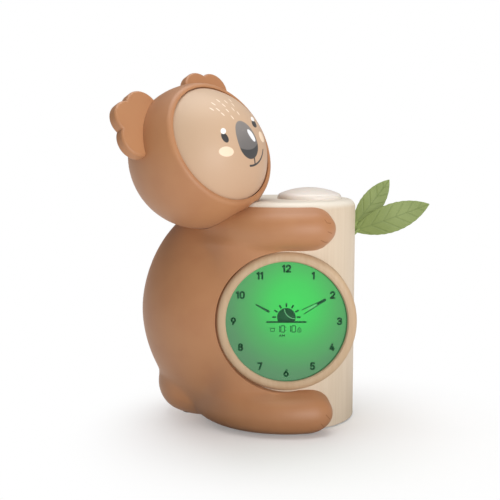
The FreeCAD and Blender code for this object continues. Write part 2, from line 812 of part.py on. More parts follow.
def battery_door():
    """A curved lid with one screw near its upper edge."""
    door = shell_band(trunk_radius, inner_radius, door_x, door_z, door_corner)
    door = door.cut(bolt(screw_radius + screw_clearance, 0, big, 0, door_screw_z))
    return door.cut(bolt(screw_head_radius + screw_clearance, door_screw_seat, big, 0, door_screw_z))


# Koala body

def ease(t):
    """A smooth step from 0 to 1."""
    t = min(1.0, max(0.0, t))
    return t * t * (3 - 2 * t)


def bulge(u):
    """The height of a round limb at a share u of its radius, with a steep straight edge past 0.96."""
    if u < 0.96:
        return math.sqrt(1 - u * u)
    return 0.28 - 3.43 * (u - 0.96)


def limb(azimuth, z, height, axis, radius, start, tip, stretch=1.0):
    """Distance of a limb's surface from the trunk's axis. Both ends are round; the tip may be drawn out."""
    turn = math.degrees(radius / axis)
    past = max((azimuth - tip) / stretch + turn, start + turn - azimuth, 0.0)
    across = math.radians(past) * axis
    return axis + radius * max(bulge(math.hypot(z - height, across) / radius), -1.0)


def back(azimuth, z, inset):
    """Distance of the torso's surface: each level is a circle beside the trunk's axis."""
    rise = min(1.0, abs(z - back_half_height) / (back_half_height - inset))
    share = (1 - rise ** back_power) ** (1 / back_power)
    radius = max((back_radius - inset) * share, 0.5)
    along = -back_axis * math.cos(math.radians(azimuth)) + back_forward * math.sin(math.radians(azimuth))
    inside = along ** 2 - back_axis ** 2 - back_forward ** 2 + radius ** 2
    reach = along + math.sqrt(max(inside, 0.0) + 1.0)
    if rise == 1.0:
        reach = core_radius
    fade = ease((azimuth - far_limb_end + 3) / far_leg_lean) * ease((300 - azimuth) / 40.0)
    return core_radius + (reach - core_radius) * fade


def belly(azimuth, z, inset):
    """Distance of the near side beside the ring: a drum that turns into an upright plane under the ring."""
    plane = belly_front / max(0.3, -math.sin(math.radians(azimuth)))
    reach = -soft_maximum((-plane, -belly_radius), blend_size) - inset
    fade = ease((azimuth - 180) / 30.0) * ease((belly_end - azimuth) / 16.0)
    fade *= ease((z - leg_radius + 6) / 14.0) * ease((arm_height + 6 - z) / 14.0)
    return core_radius + (reach - core_radius) * fade


def soft_maximum(reaches, size):
    """The largest value, rounded where two of them are close."""
    top = max(reaches)
    return top + size * math.log(sum(math.exp((r - top) / size) for r in reaches))


def body_reach(azimuth, z, inset):
    """Distance of the koala's surface from the trunk's axis."""
    trim = math.degrees(inset / arm_axis)
    hip = ease((azimuth - far_limb_end) / (hip_azimuth - far_limb_end))
    far_leg = leg_radius + (hip_radius - leg_radius) * hip
    far_axis = leg_axis + (hip_axis - leg_axis) * hip
    limb_start = far_limb_end + trim
    arm = limb(azimuth, z, arm_height, arm_axis, arm_radius - inset, limb_start, arm_tip - trim, tip_stretch)
    leg = limb(azimuth, z, leg_radius, leg_axis, leg_radius - inset, near_leg_start, leg_tip - trim,
               tip_stretch)
    near = soft_maximum((core_radius + 1, back(azimuth, z, inset), belly(azimuth, z, inset), arm, leg),
                        blend_size)
    hip_turn = math.degrees(hip_radius / hip_axis)
    far_tip = hip_azimuth + hip_turn - trim
    far = limb(azimuth, z, far_leg, far_axis, far_leg - inset, limb_start, far_tip)
    return soft_maximum((near, far), cleft_size)


def body_form(inset=0.0):
    """The koala's body and the core it hugs, as one closed solid, from a surface drawn to rings of points."""
    azimuths = [far_limb_end - 11 + body_step * n for n in range(body_rows)]
    rest = azimuths[0] + 360 - azimuths[-1]
    azimuths += [azimuths[-1] + rest * (n + 1) / (core_rows + 1) for n in range(core_rows)]
    level_count = int((trunk_height + 4 - body_low) / body_rise) + 1
    levels = [body_low + body_rise * n for n in range(level_count)]
    rings = [[polar(body_reach(a % 360, z, inset), a, z) for z in levels] for a in azimuths]
    spans = len(levels) - 3
    surface = Part.BSplineSurface()
    surface.buildFromPolesMultsKnots(rings, [1] * (len(rings) + 1), [4] + [1] * (spans - 1) + [4],
                                     list(range(len(rings) + 1)), list(range(spans + 1)), True, False, 3, 3)
    side = surface.toShape()
    ends = [e for e in side.Edges if e.Closed and e.BoundBox.ZLength < 1]
    lids = [Part.Face(Part.Wire(end)) for end in ends]
    solid = Part.Solid(Part.Shell([side] + lids))
    solid.fix(1e-4, 1e-4, 1e-3)
    return solid


head_point = V(*head_at, trunk_height + head_rise)
body_out = polar(1, body_screw_azimuth)


def koala_body():
    """A hollow vinyl body with a wall all round, screw bosses and a seat for the head."""
    def tools(wall):
        ring_room = ring_radius + ring_gap + wall
        return [rod(trunk_radius + hug_gap + wall, -big, big),
                bolt(ring_room, -big, 0, 0, dial_height),
                Part.makeSphere(head_radius + head_gap + wall, head_point),
                box((-big, big), (-big, big), (-big, body_foot + wall))]
    form = body_form().cut(tools(0.0))
    cavity = body_form(vinyl_wall).cut(tools(vinyl_wall))
    for z in body_screw_heights:
        at = polar(trunk_radius, body_screw_azimuth, z)
        cavity = cavity.cut(Part.makeCylinder(body_boss_radius, body_screw_length + 2, at, body_out))
    cavity = cavity.cut(rod(neck_radius + neck_wall, neck_low - neck_wall, big, *neck_at))
    body = form.cut(cavity)
    pilots = [rod(neck_radius + thread_clearance, neck_low, big, *neck_at)]
    for z in body_screw_heights:
        at = polar(trunk_radius - 1, body_screw_azimuth, z)
        pilots.append(Part.makeCylinder(screw_radius + thread_clearance, body_screw_length, at, body_out))
    return body.cut(pilots)


# Head

def head_axes():
    """A placement whose X is the face's left, Y its up and Z its outward direction, on the head's centre."""
    out = V(*face_direction).normalize()
    side = UP.cross(out).normalize()
    up = out.cross(side)
    lean = math.radians(face_roll)
    x = side * math.cos(lean) + up * math.sin(lean)
    y = up * math.cos(lean) - side * math.sin(lean)
    matrix = FreeCAD.Matrix(x.x, y.x, out.x, head_point.x, x.y, y.y, out.y, head_point.y,
                            x.z, y.z, out.z, head_point.z, 0, 0, 0, 1)
    return FreeCAD.Placement(matrix)


def on_head(shape):
    """Places a piece made about the head's centre, with +Z out of the face."""
    shape = shape.copy()
    shape.Placement = head_axes()
    return shape


def ear_plate(side):
    """One ear as a flat plate of rounded lobes."""
    back_face = ear_front - ear_thickness
    plate = None
    for x, y, radius in ear_lobes:
        flat = radius - ear_round
        low = arc_point(ear_round, -45, flat, back_face + ear_round)
        high = arc_point(ear_round, 45, flat, ear_front - ear_round)
        lobe = turned([(0, back_face), (flat, back_face), low + (radius, back_face + ear_round),
                       (radius, ear_front - ear_round), high + (flat, ear_front), (0, ear_front)])
        lobe.translate(V(side * x, y, 0))
        plate = lobe if plate is None else plate.fuse(lobe)
    return plate.removeSplitter()


def ear_peg(side, radius):
    """The peg that holds an ear in the head's wall."""
    core = ear_lobes[3]
    out = V(side * core[0], core[1], ear_front - ear_thickness / 2)
    direction = V(out)
    direction.normalize()
    start = direction * (head_radius - ear_peg_length)
    return Part.makeCylinder(radius, ear_peg_length + ear_peg_reach, start, direction)


def head_shell():
    """A hollow ball, open at the face, with a rounded rim and a ledge for the face plate."""
    inner = head_radius - head_wall
    middle = rim_plane - rim_round
    across = math.sqrt((head_radius - rim_round) ** 2 - middle ** 2)
    start = math.degrees(math.atan2(middle, across))
    ledge_top = face_seat
    ledge_low = ledge_top - rim_ledge_thickness
    outer = turned([
        (0, -head_radius), arc_point(head_radius, (start - 90) / 2) + arc_point(head_radius, start),
        arc_point(rim_round, (start + 90) / 2, across, middle) + (across, rim_plane),
        (0, rim_plane)])
    cavity = turned([
        (0, -inner), arc_point(inner, (math.degrees(math.asin(ledge_low / inner)) - 90) / 2)
        + (math.sqrt(inner ** 2 - ledge_low ** 2), ledge_low), (0, ledge_low)])
    mouth = rim_radius - rim_ledge
    mouth = turned([(0, ledge_low - 1), (mouth, ledge_low - 1), (mouth, ledge_top),
                    (rim_radius, ledge_top), (rim_radius, rim_plane + 1), (0, rim_plane + 1)])
    neck = rod(neck_radius + neck_wall, 0, neck_high + neck_wall, *neck_at)
    shell = on_head(outer).cut(trunk_form(hug_gap, -big))
    beside_trunk = trunk_form(hug_gap + head_wall, -big)
    room = on_head(cavity).cut(beside_trunk).cut(neck)
    shell = shell.cut(room).cut(on_head(mouth).cut(beside_trunk))
    shell = shell.cut(rod(neck_radius + thread_clearance, 0, neck_high + slip_gap, *neck_at))
    return shell.cut([on_head(ear_peg(side, ear_peg_radius + thread_clearance)) for side in (-1, 1)])


face_rim = rim_radius - face_gap
face_seat = face_edge - face_skirt
face_centre = face_edge - math.sqrt(face_dome_radius ** 2 - face_rim ** 2)


def face_plate():
    """A domed plate that drops into the head's mouth."""
    inner = face_dome_radius - face_wall
    low_rim = face_rim - face_wall
    inner_edge = math.sqrt(inner ** 2 - low_rim ** 2)
    lean = math.degrees(math.acos(face_rim / face_dome_radius))
    inner_lean = math.degrees(math.acos(low_rim / inner))
    foot = face_seat + face_lift
    plate = turned([
        (0, face_centre + face_dome_radius),
        arc_point(face_dome_radius, (lean + 90) / 2, 0, face_centre) + (face_rim, face_edge),
        (face_rim, foot), (low_rim, foot), (low_rim, face_centre + inner_edge),
        arc_point(inner, (inner_lean + 90) / 2, 0, face_centre) + (0, face_centre + inner)])
    return on_head(plate).cut(trunk_form(hug_gap + head_wall + face_gap, -big))


def ear(side):
    """One ear, trimmed to the head, with its peg."""
    plate = ear_plate(side).cut(Part.makeSphere(head_radius + ear_gap))
    return on_head(plate.fuse(ear_peg(side, ear_peg_radius)))


# Leaves

def leaf(base, tip, width, seat_side):
    """A dished leaf between two arcs, with a blunt tip and a stalk that ends on the stem's collar."""
    start = V(base[0], base[1], stem_height + base[2])
    along = V(tip[0], tip[1], stem_height + tip[2]) - start
    length = along.Length
    along.normalize()
    out = V(0, -1, 0)
    out = (out - along * out.dot(along)).normalize()
    across = out.cross(along)
    tip_point = V(length, 0, 0)
    high = Part.Arc(V(0, 0, 0), V(leaf_widest * length, width / 2, 0), tip_point).toShape()
    low = Part.Arc(tip_point, V(leaf_widest * length, -width / 2, 0), V(0, 0, 0)).toShape()
    blade = Part.Face(Part.Wire([high, low])).extrude(V(0, 0, 20))
    tip_edge = [e for e in blade.Edges if e.BoundBox.XMin > length - 0.1]
    blade = blade.makeFillet(leaf_tip_round, tip_edge)
    blade.translate(V(0, 0, -10))
    centre = V(length / 2, 0, -leaf_dish)
    hollow = Part.makeSphere(leaf_dish - leaf_thickness, centre)
    blade = blade.common(Part.makeSphere(leaf_dish, centre).cut(hollow))
    matrix = FreeCAD.Matrix(along.x, across.x, out.x, start.x, along.y, across.y, out.y, start.y,
                            along.z, across.z, out.z, start.z, 0, 0, 0, 1)
    blade.Placement = FreeCAD.Placement(matrix)
    dip = leaf_dish - math.sqrt((leaf_dish - leaf_thickness / 2) ** 2 - (length / 2 - stalk_overlap) ** 2)
    root = start + along * stalk_overlap - out * dip
    seat = polar(collar_face - 1, stem_azimuth, stem_height + seat_side * stalk_spacing)
    stalk = Part.makeCylinder(stalk_radius, (root - seat).Length, seat, root - seat)
    stalk = stalk.fuse(Part.makeSphere(stalk_radius, root))
    behind_collar = Part.makeCylinder(10, 5, polar(collar_face - 5, stem_azimuth, stem_height), stem_out)
    return blade.fuse(stalk).cut(behind_collar)


def leaf_stem():
    """A plug in the trunk's wall with a collar outside."""
    start = polar(trunk_radius - stem_inside, stem_azimuth, stem_height)
    collar = polar(trunk_radius + stem_gap, stem_azimuth, stem_height)
    plug = Part.makeCylinder(stem_radius, stem_inside + stem_collar + stem_gap, start, stem_out)
    return plug.fuse(Part.makeCylinder(stem_collar_radius, stem_collar, collar, stem_out))


def main():
    """Makes every node."""
    os.makedirs("parts", exist_ok=True)
    down = V(0, 0, -1)
    front = V(0, -1, 0)
    save("trunk_sleeve", trunk_sleeve())
    save("base_plate", base_plate())
    save("base_pad", rod(inner_radius - base_pad_inset, 0, base_pad_thickness))
    heads = [polar(base_screw_ring, a, base_pad_thickness + screw_head) for a in base_screw_azimuths]
    save("base_screws", *[screw(at, UP, screw_length) for at in heads])
    save("bezel_ring", bezel_ring())
    save("display_lens", disc(lens_radius, lens_front - lens_thickness, lens_front))
    save("lcd_panel", disc(lens_radius - close_gap, lcd_front - lcd_thickness, lcd_front))
    save("light_diffuser", disc(diffuser_radius, diffuser_back, frame_front))
    save("display_frame", display_frame())
    save("light_board", disc(light_board_radius, reflector_back - light_board_thickness, reflector_back))
    save("light_leds", *light_leds())
    save("main_board", main_board())
    save("main_chips", *main_chips())
    board_back = main_board_front - board_thickness
    seats = [V(x, -board_back, dial_height + z) for x, z in standoffs]
    save("board_screws", *[screw(at, front, short_screw_length) for at in seats])
    save("dome_button", dome_button())
    save("dome_spring", dome_spring())
    save("top_board", top_board())
    save("top_switch", top_switch())
    seats = [V(x, y, top_board_face - board_thickness) for x, y in top_posts]
    save("top_board_screws", *[screw(at, UP, screw_length) for at in seats])
    save("rear_cover", rear_cover())
    seats = [V(x, cover_screw_seat, z) for x, z in cover_screws_at]
    save("cover_screws", *[screw(at, front, short_screw_length) for at in seats])
    save("rear_board", rear_board())
    seats = [V(x, rear_board_face - board_thickness, z) for x, z in board_posts]
    save("rear_board_screws", *[screw(at, BACK, board_screw_length) for at in seats])
    save("rear_switches", *rear_switches())
    save("usb_socket", usb_socket())
    save("slide_switch", slide_switch())
    save("switch_knob", switch_knob())
    for name, x in zip(button_names, buttons_x):
        save(name, rear_button(x))
    save("speaker", speaker())
    magnet_end = speaker_front - speaker_depth
    magnet_start = magnet_end - speaker_magnet_depth
    save("speaker_magnet", bolt(speaker_magnet_radius, magnet_start, magnet_end, 0, speaker_height))
    save("battery_tray", battery_tray())
    save("battery_contacts", *battery_contacts())
    save("battery_cells", *battery_cells())
    save("battery_door", battery_door())
    save("door_screw", screw(V(0, door_screw_seat, door_screw_z), front, screw_length))
    save("koala_body", koala_body())
    seats = [polar(inner_radius - screw_seat_gap, body_screw_azimuth, z) for z in body_screw_heights]
    save("body_screws", *[screw(at, body_out, body_screw_shank) for at in seats])
    save("rump_pad", rod(rump_pad_radius, 0, body_foot, -hip_axis, 0))
    save("head_shell", head_shell())
    save("neck_post", rod(neck_radius, neck_low + slip_gap, neck_high, *neck_at))
    save("face_plate", face_plate())
    save("ear_right", ear(-1))
    save("ear_left", ear(1))
    save("leaf_upper", leaf(leaf_upper_base, leaf_upper_tip, leaf_upper_width, 1))
    save("leaf_side", leaf(leaf_side_base, leaf_side_tip, leaf_side_width, -1))
    save("leaf_stem", leaf_stem())


main()
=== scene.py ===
# %% [markdown]
# A koala made of soft vinyl hugs a tree trunk, and the trunk is an alarm clock with a lit display. The
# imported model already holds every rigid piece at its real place, so this lesson loads it as a fixed frame
# and adds what a solid model lacks: finishes, printed marks, veined leaves, a floor and light.

# %% Load the frame
import math

import bpy
import numpy as np
from mathutils import Matrix, Vector
from mathutils.bvhtree import BVHTree


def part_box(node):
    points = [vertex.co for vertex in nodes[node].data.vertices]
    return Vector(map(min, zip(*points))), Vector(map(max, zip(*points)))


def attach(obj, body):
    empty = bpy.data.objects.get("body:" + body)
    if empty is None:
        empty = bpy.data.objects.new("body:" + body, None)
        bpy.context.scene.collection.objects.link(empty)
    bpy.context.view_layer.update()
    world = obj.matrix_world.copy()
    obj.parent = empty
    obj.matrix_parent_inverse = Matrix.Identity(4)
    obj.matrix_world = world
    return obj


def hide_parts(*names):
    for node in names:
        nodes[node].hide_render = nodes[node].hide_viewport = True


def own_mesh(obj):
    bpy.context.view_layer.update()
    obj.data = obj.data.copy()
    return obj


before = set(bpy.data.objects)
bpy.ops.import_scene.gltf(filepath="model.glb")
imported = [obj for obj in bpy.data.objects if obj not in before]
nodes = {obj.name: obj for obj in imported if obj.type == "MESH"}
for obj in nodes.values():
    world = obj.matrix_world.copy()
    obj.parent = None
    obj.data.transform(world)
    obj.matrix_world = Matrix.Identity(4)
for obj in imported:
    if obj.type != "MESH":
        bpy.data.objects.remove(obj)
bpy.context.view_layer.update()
scene = bpy.context.scene
mm = 0.001

# %% [markdown]
# The camera stands a little above the clock and looks slightly down at it. Its distance decides how
# strongly the near leg grows against the far ear, so it is set before anything else is judged.

# %% Camera
camera_place = Vector((-17.6, -461.8, 140.4)) * mm
camera_tilt = math.radians(83.24)
camera_lens = 64.5
camera_sensor = 36
near_limit = 10 * mm

camera = bpy.data.objects.new("camera", bpy.data.cameras.new("camera"))
camera.location = camera_place
camera.rotation_euler = (camera_tilt, 0, 0)
camera.data.sensor_width = camera_sensor
camera.data.lens = camera_lens
camera.data.clip_start = near_limit
scene.collection.objects.link(camera)
scene.camera = camera
print("camera in mm", [round(c / mm, 1) for c in camera_place])

# %% [markdown]
# A material in Blender is a graph of nodes. Graphs are hard to read as a list of links, so a small class
# wraps one output, and Python's own operators add the Math nodes: `1 - mask * 0.3` becomes two nodes. Every
# other node comes from one method, `Finish.node`, which takes its type, its settings and its inputs.

# %% Shader values and finishes
class Value:
    """One output of a node. Arithmetic with it adds Math nodes to the same finish."""

    def __init__(self, finish, socket):
        self.finish = finish
        self.socket = socket

    def math(self, operation, *others):
        """This value and others through one Math node."""
        return self.finish.node("ShaderNodeMath", {"operation": operation}, [self, *others])

    def __add__(self, other):
        return self.math("ADD", other)

    def __sub__(self, other):
        return self.math("SUBTRACT", other)

    def __rsub__(self, other):
        return self.finish.node("ShaderNodeMath", {"operation": "SUBTRACT"}, [other, self])

    def __mul__(self, other):
        return self.math("MULTIPLY", other)

    def __truediv__(self, other):
        return self.math("DIVIDE", other)

    __radd__ = __add__
    __rmul__ = __mul__


class Finish:
    """A material with one Principled shader. Its methods add nodes and set the shader's sockets."""

    def __init__(self, name, **sockets):
        self.material = bpy.data.materials.new(name)
        self.material.use_nodes = True
        self.tree = self.material.node_tree
        self.shader = self.tree.nodes["Principled BSDF"]
        self.set(**sockets)

    def node(self, kind, settings=None, inputs=(), output=0):
        """Adds a node: settings first, such as an operation or a ramp's stops, then values or links."""
        made = self.tree.nodes.new(kind)
        for name, value in (settings or {}).items():
            if name == "stops":
                set_ramp(made.color_ramp, value)
            else:
                setattr(made, name, value)
        pairs = inputs.items() if isinstance(inputs, dict) else enumerate(inputs)
        for key, value in pairs:
            self.feed(made.inputs[key], value)
        return Value(self, made.outputs[output])

    def feed(self, socket, value):
        """Links a node's output to a socket, or writes a plain value into it."""
        if isinstance(value, Value):
            self.tree.links.new(value.socket, socket)
        else:
            socket.default_value = value

    def set(self, **sockets):
        """Sets the shader's sockets by name, with underscores for spaces."""
        for name, value in sockets.items():
            self.feed(self.shader.inputs[name.replace("_", " ")], value)
        return self

    def place(self):
        """The point's own place in the object, in metres."""
        return self.node("ShaderNodeTexCoord", output="Object")

    def stretched(self, scale):
        """Object coordinates multiplied along each axis. A factor under 1 makes a pattern longer there."""
        return self.node("ShaderNodeMapping", None, {"Vector": self.place(), "Scale": scale})

    def parts(self, vector):
        """The three numbers of a vector."""
        split = self.node("ShaderNodeSeparateXYZ", None, [vector]).socket.node
        return [Value(self, split.outputs[n]) for n in range(3)]

    def noise(self, vector, scale, detail=3.0, roughness=0.5):
        """Soft noise from 0 to 1, with about `scale` spots to the metre."""
        return self.node("ShaderNodeTexNoise", None,
                         {"Vector": vector, "Scale": scale, "Detail": detail, "Roughness": roughness})

    def step(self, value, start, end):
        """0 before start and 1 after end, with a smooth turn between them."""
        return self.node("ShaderNodeMapRange", {"interpolation_type": "SMOOTHSTEP"}, [value, start, end])

    def mix(self, share, first, second):
        """A colour between two colours. Inputs 6 and 7 and output 2 are the Mix node's colour sockets."""
        return self.node("ShaderNodeMix", {"data_type": "RGBA"}, {0: share, 6: first, 7: second}, output=2)

    def bump(self, height, distance, strength=1.0):
        """Tilts the surface by a height map whose full height is `distance` metres."""
        self.set(Normal=self.node("ShaderNodeBump", None,
                                  {"Strength": strength, "Distance": distance, "Height": height}))
        return self


def set_ramp(ramp, stops):
    """Gives a colour ramp its stops, each a place from 0 to 1 and a colour."""
    for stop, (place, colour) in zip([ramp.elements[0], ramp.elements[1]], (stops[0], stops[-1])):
        stop.position = place
        stop.color = colour
    for place, colour in stops[1:-1]:
        ramp.elements.new(place).color = colour


def paint(red, green, blue):
    """A display colour, 0 to 255, as the linear colour that shaders work with."""
    def linear(share):
        return share / 12.92 if share <= 0.04045 else ((share + 0.055) / 1.055) ** 2.4
    return tuple(linear(c / 255) for c in (red, green, blue)) + (1.0,)


def dress(finish, *names):
    """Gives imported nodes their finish."""
    for name in names:
        nodes[name].data.materials.clear()
        nodes[name].data.materials.append(finish.material)
    print(finish.material.name, "on", ", ".join(names))


# %% [markdown]
# The koala is rotocast vinyl with a soft matt coat. The colour is even, so the finish lives in small
# things: a faint mottle more than a centimetre across, a very fine grain that breaks the highlight, and a
# trace of sheen.

# %% Koala vinyl
vinyl_brown = paint(178, 125, 84)
vinyl_deep = paint(174, 120, 80)
fine_grain = 2600.0
grain_depth = 0.02 * mm


def vinyl(name, light, deep):
    """Soft vinyl: two close tones mixed by a large noise, with a fine grain in the surface."""
    made = Finish(name, Roughness=0.5, Specular_IOR_Level=0.5, Sheen_Weight=0.04, Sheen_Roughness=0.5)
    mottle = made.noise(made.place(), 60.0, 2.0)
    made.set(Base_Color=made.mix(made.step(mottle, 0.35, 0.65), light, deep))
    return made.bump(made.noise(made.place(), fine_grain, 2.0), grain_depth, 0.35)


dress(vinyl("koala_vinyl", vinyl_brown, vinyl_deep), "koala_body", "head_shell", "ear_left", "ear_right")

# %% [markdown]
# The trunk, its rear cover and its ring carry a printed wood grain. Real grain runs up the trunk, so one
# noise is stretched about forty-five times along Z, and that gives long streaks. A second, broader one
# shifts the tone between neighbouring streaks. The trunk's top is plain, because the print stops at the
# rounded edge.

# %% Wood print
streak_squeeze = 0.022
band_squeeze = 0.12
band_scale = 0.12
plain_top = paint(226, 217, 202)
print_margin = 4.0 * mm
print_fade = 3.0 * mm


def wood(name, light, middle, dark, grain_scale, print_end=None):
    """Wood print: streaks along Z, a broad change of tone, and plain plastic above the print's end."""
    made = Finish(name, Specular_IOR_Level=0.4)
    fine = made.noise(made.stretched((1.0, 1.0, streak_squeeze)), grain_scale, 5.0, 0.62)
    broad = made.noise(made.stretched((1.0, 1.0, band_squeeze)), grain_scale * band_scale, 2.0)
    tone = made.step(fine, 0.3, 0.72)
    colour = made.mix(made.step(broad, 0.45, 0.75) * 0.5, made.mix(tone, light, middle), dark)
    if print_end is not None:
        height = made.parts(made.place())[2]
        colour = made.mix(made.step(height, print_end, print_end + print_fade), colour, plain_top)
    made.set(Base_Color=colour, Roughness=tone * 0.1 + 0.44)
    return made.bump(fine, 2 * grain_depth, 0.3)


trunk_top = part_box("trunk_sleeve")[1].z
dress(wood("trunk_print", paint(214, 196, 173), paint(209, 190, 166), paint(203, 182, 156), 900.0,
           trunk_top - print_margin), "trunk_sleeve", "rear_cover", "battery_door")
dress(wood("ring_print", paint(198, 170, 138), paint(191, 162, 129), paint(184, 152, 118), 700.0),
      "bezel_ring")

# %% [markdown]
# The small parts are plain mouldings, metal and rubber. Each gets its own roughness, because roughness is
# what tells a rubber pad from a moulded button of the same colour.

# %% Small parts
def moulding(name, colour, roughness=0.42, texture=0.15, **sockets):
    """Moulded plastic: one colour with a slight mottle and a fine spark-eroded texture."""
    made = Finish(name, Roughness=roughness, **sockets)
    spots = made.noise(made.place(), 240.0, 2.0)
    darker = tuple(c * 0.93 for c in colour[:3]) + (1.0,)
    made.set(Base_Color=made.mix(spots, colour, darker))
    return made.bump(made.noise(made.place(), 2 * fine_grain, 2.0), grain_depth, texture)


def metal(name, colour, roughness):
    """Plated metal: fine scratches in one direction change its roughness."""
    made = Finish(name, Base_Color=colour, Metallic=1.0)
    scratches = made.noise(made.stretched((1.0, 6.0, 1.0)), 1500.0, 3.0)
    return made.set(Roughness=scratches * 0.15 + roughness)


spring_steel = metal("spring_steel", paint(216, 216, 218), 0.15)
dress(moulding("dome_cream", paint(232, 221, 211), 0.38, Subsurface_Weight=0.05), "dome_button")
dress(moulding("case_plastic", paint(226, 219, 206), 0.5),
      "base_plate", "display_frame", "battery_tray", "neck_post")
dress(moulding("pad_rubber", paint(70, 66, 62), 0.85, 0.5), "base_pad", "rump_pad")
dress(moulding("button_brown", paint(150, 108, 78), 0.4),
      "set_button", "plus_button", "minus_button", "alarm_button", "switch_knob")
dress(moulding("board_green", paint(38, 92, 58), 0.35),
      "light_board", "main_board", "top_board", "rear_board")
dress(moulding("chip_black", paint(38, 38, 40), 0.5),
      "main_chips", "top_switch", "rear_switches", "slide_switch", "speaker")
dress(moulding("led_body", paint(240, 240, 228), 0.2), "light_leds")
dress(moulding("diffuser_white", paint(236, 240, 236), 0.6), "light_diffuser")
dress(moulding("cell_wrap", paint(62, 66, 74), 0.25), "battery_cells")
dress(metal("screw_steel", paint(196, 196, 198), 0.3), "base_screws", "board_screws", "top_board_screws",
      "cover_screws", "rear_board_screws", "body_screws", "door_screw", "speaker_magnet")
dress(spring_steel, "dome_spring", "usb_socket", "battery_contacts")

# %% [markdown]
# The display is a liquid crystal panel with coloured light behind it. The light is strongest above the
# middle and a little to the right of it, and it fades to a grey green at the rim, so the emission colour
# follows the distance from that point. A thin dark edge is the shade of the ring's lip. In front of the
# panel lies a clear lens, which only adds reflections.

# %% Lit display
panel_low, panel_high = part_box("lcd_panel")
dial_x = (panel_low.x + panel_high.x) / 2
dial_z = (panel_low.z + panel_high.z) / 2
panel_front = panel_low.y
glow_x = 3.4 * mm
glow_z = 8.5 * mm
glow_reach = 42.0 * mm
glow_tall = 0.9
shade_start = 28.9 * mm
shade_width = 0.7 * mm
shade_shift = 0.3 * mm
shade_strength = 0.8
light_strength = 0.95
glow_stops = [(0.0, paint(74, 222, 100)), (0.25, paint(78, 210, 100)), (0.5, paint(88, 178, 102)),
              (0.75, paint(94, 150, 104)), (1.0, paint(96, 132, 104))]


def lit_panel():
    """Emission by distance from the glow's centre, and a dark edge where the ring's lip shades the panel."""
    made = Finish("display_face", Base_Color=paint(8, 16, 10), Roughness=0.9, Specular_IOR_Level=0.0)
    x, _, z = made.parts(made.place())
    across = x - (dial_x + glow_x)
    up = z - (dial_z + glow_z)
    distance = (across * across + up * up * glow_tall).math("SQRT") / glow_reach
    glow = made.node("ShaderNodeValToRGB", {"stops": glow_stops}, [distance])
    lip_across = across + (glow_x + shade_shift)
    lip_up = up + (glow_z + shade_shift)
    from_middle = (lip_across * lip_across + lip_up * lip_up).math("SQRT")
    shaded = made.step(from_middle, shade_start, shade_start + shade_width)
    return made.set(Emission_Color=made.mix(shaded * shade_strength, glow, paint(20, 70, 34)),
                    Emission_Strength=light_strength)


dress(lit_panel(), "lcd_panel")
dress(Finish("lens_clear", Base_Color=(1, 1, 1, 1), Roughness=0.03, IOR=1.15, Transmission_Weight=1.0),
      "display_lens")
print("dial's middle in mm", round(dial_x / mm, 1), round(dial_z / mm, 1))

# %% [markdown]
# Numbers, hands and marks on the panel are dark segments. A texture could hold them, but strokes are sharp
# from any distance. Each is a stroke of even width with round ends, worked out as a grid: rows follow the
# line, and each row has four corners, two on the face and two behind it. The rows draw together in a half
# circle at both ends, so no separate cap is needed.

# %% Meshes from grids
least_half = 1e-4


def add_mesh(name, points, faces, smooth=False):
    """A new piece from points and faces."""
    mesh = bpy.data.meshes.new(name)
    mesh.from_pydata(points.tolist(), [], faces)
    mesh.update()
    if smooth:
        mesh.polygons.foreach_set("use_smooth", [True] * len(mesh.polygons))
    piece = bpy.data.objects.new(name, mesh)
    scene.collection.objects.link(piece)
    print(name, "has", len(points), "points and", len(faces), "faces")
    return piece


def grid_faces(rows, columns, closed, first=0):
    """Quads of a grid whose points are numbered row by row. A closed grid also joins its last column to its
    first."""
    row = np.arange(rows - 1)[:, None] * columns
    column = np.arange(columns if closed else columns - 1)[None, :]
    after = (column + 1) % columns
    quads = np.stack([row + column, row + after, row + columns + after, row + columns + column], axis=-1)
    return (quads.reshape(-1, 4) + first).tolist()


def stroke_rows(line, widths, cap_rows=5):
    """Left and right edge of a stroke: each point of the line moved aside by half the width, square to the
    line. Past both ends the half width follows a half circle."""
    line = np.asarray(line, float)
    half = np.broadcast_to(np.asarray(widths, float) / 2, len(line))
    along = np.gradient(line, axis=0)
    along /= np.linalg.norm(along, axis=1)[:, None]
    turn = np.linspace(math.pi / 2, 0, cap_rows + 1)[:-1, None]
    start = line[0] - along[0] * half[0] * np.sin(turn)
    end = line[-1] + along[-1] * half[-1] * np.sin(turn[::-1])
    middle = np.concatenate([start, line, end])
    along = np.concatenate([np.repeat(along[:1], cap_rows, 0), along, np.repeat(along[-1:], cap_rows, 0)])
    half = np.concatenate([half[0] * np.cos(turn[:, 0]), half, half[-1] * np.cos(turn[::-1, 0])])
    aside = np.stack([-along[:, 1], along[:, 0]], axis=1) * np.maximum(half, least_half)[:, None]
    return middle + aside, middle - aside


def print_strokes(name, strokes, place, thickness):
    """Raised strokes as one piece. place(points, height) lifts 2-D points onto the carrier."""
    points = []
    faces = []
    first = 0
    for line, widths in strokes:
        left, right = stroke_rows(line, widths)
        rows = np.stack([place(left, thickness), place(right, thickness),
                         place(right, 0.0), place(left, 0.0)], axis=1)
        last = first + 4 * (len(left) - 1)
        faces += grid_faces(len(left), 4, True, first)
        faces += [[first + n for n in (3, 2, 1, 0)], [last + n for n in range(4)]]
        points.append(rows.reshape(-1, 3))
        first = last + 4
    return add_mesh(name, np.concatenate(points), faces)


def line(*points):
    """A straight or bent line through its points, with short steps so that its corners stay sharp."""
    points = np.asarray(points, float)
    share = np.linspace(0, 1, 9)[1:, None]
    steps = [points[:1]] + [a + (b - a) * share for a, b in zip(points[:-1], points[1:])]
    return np.concatenate(steps)


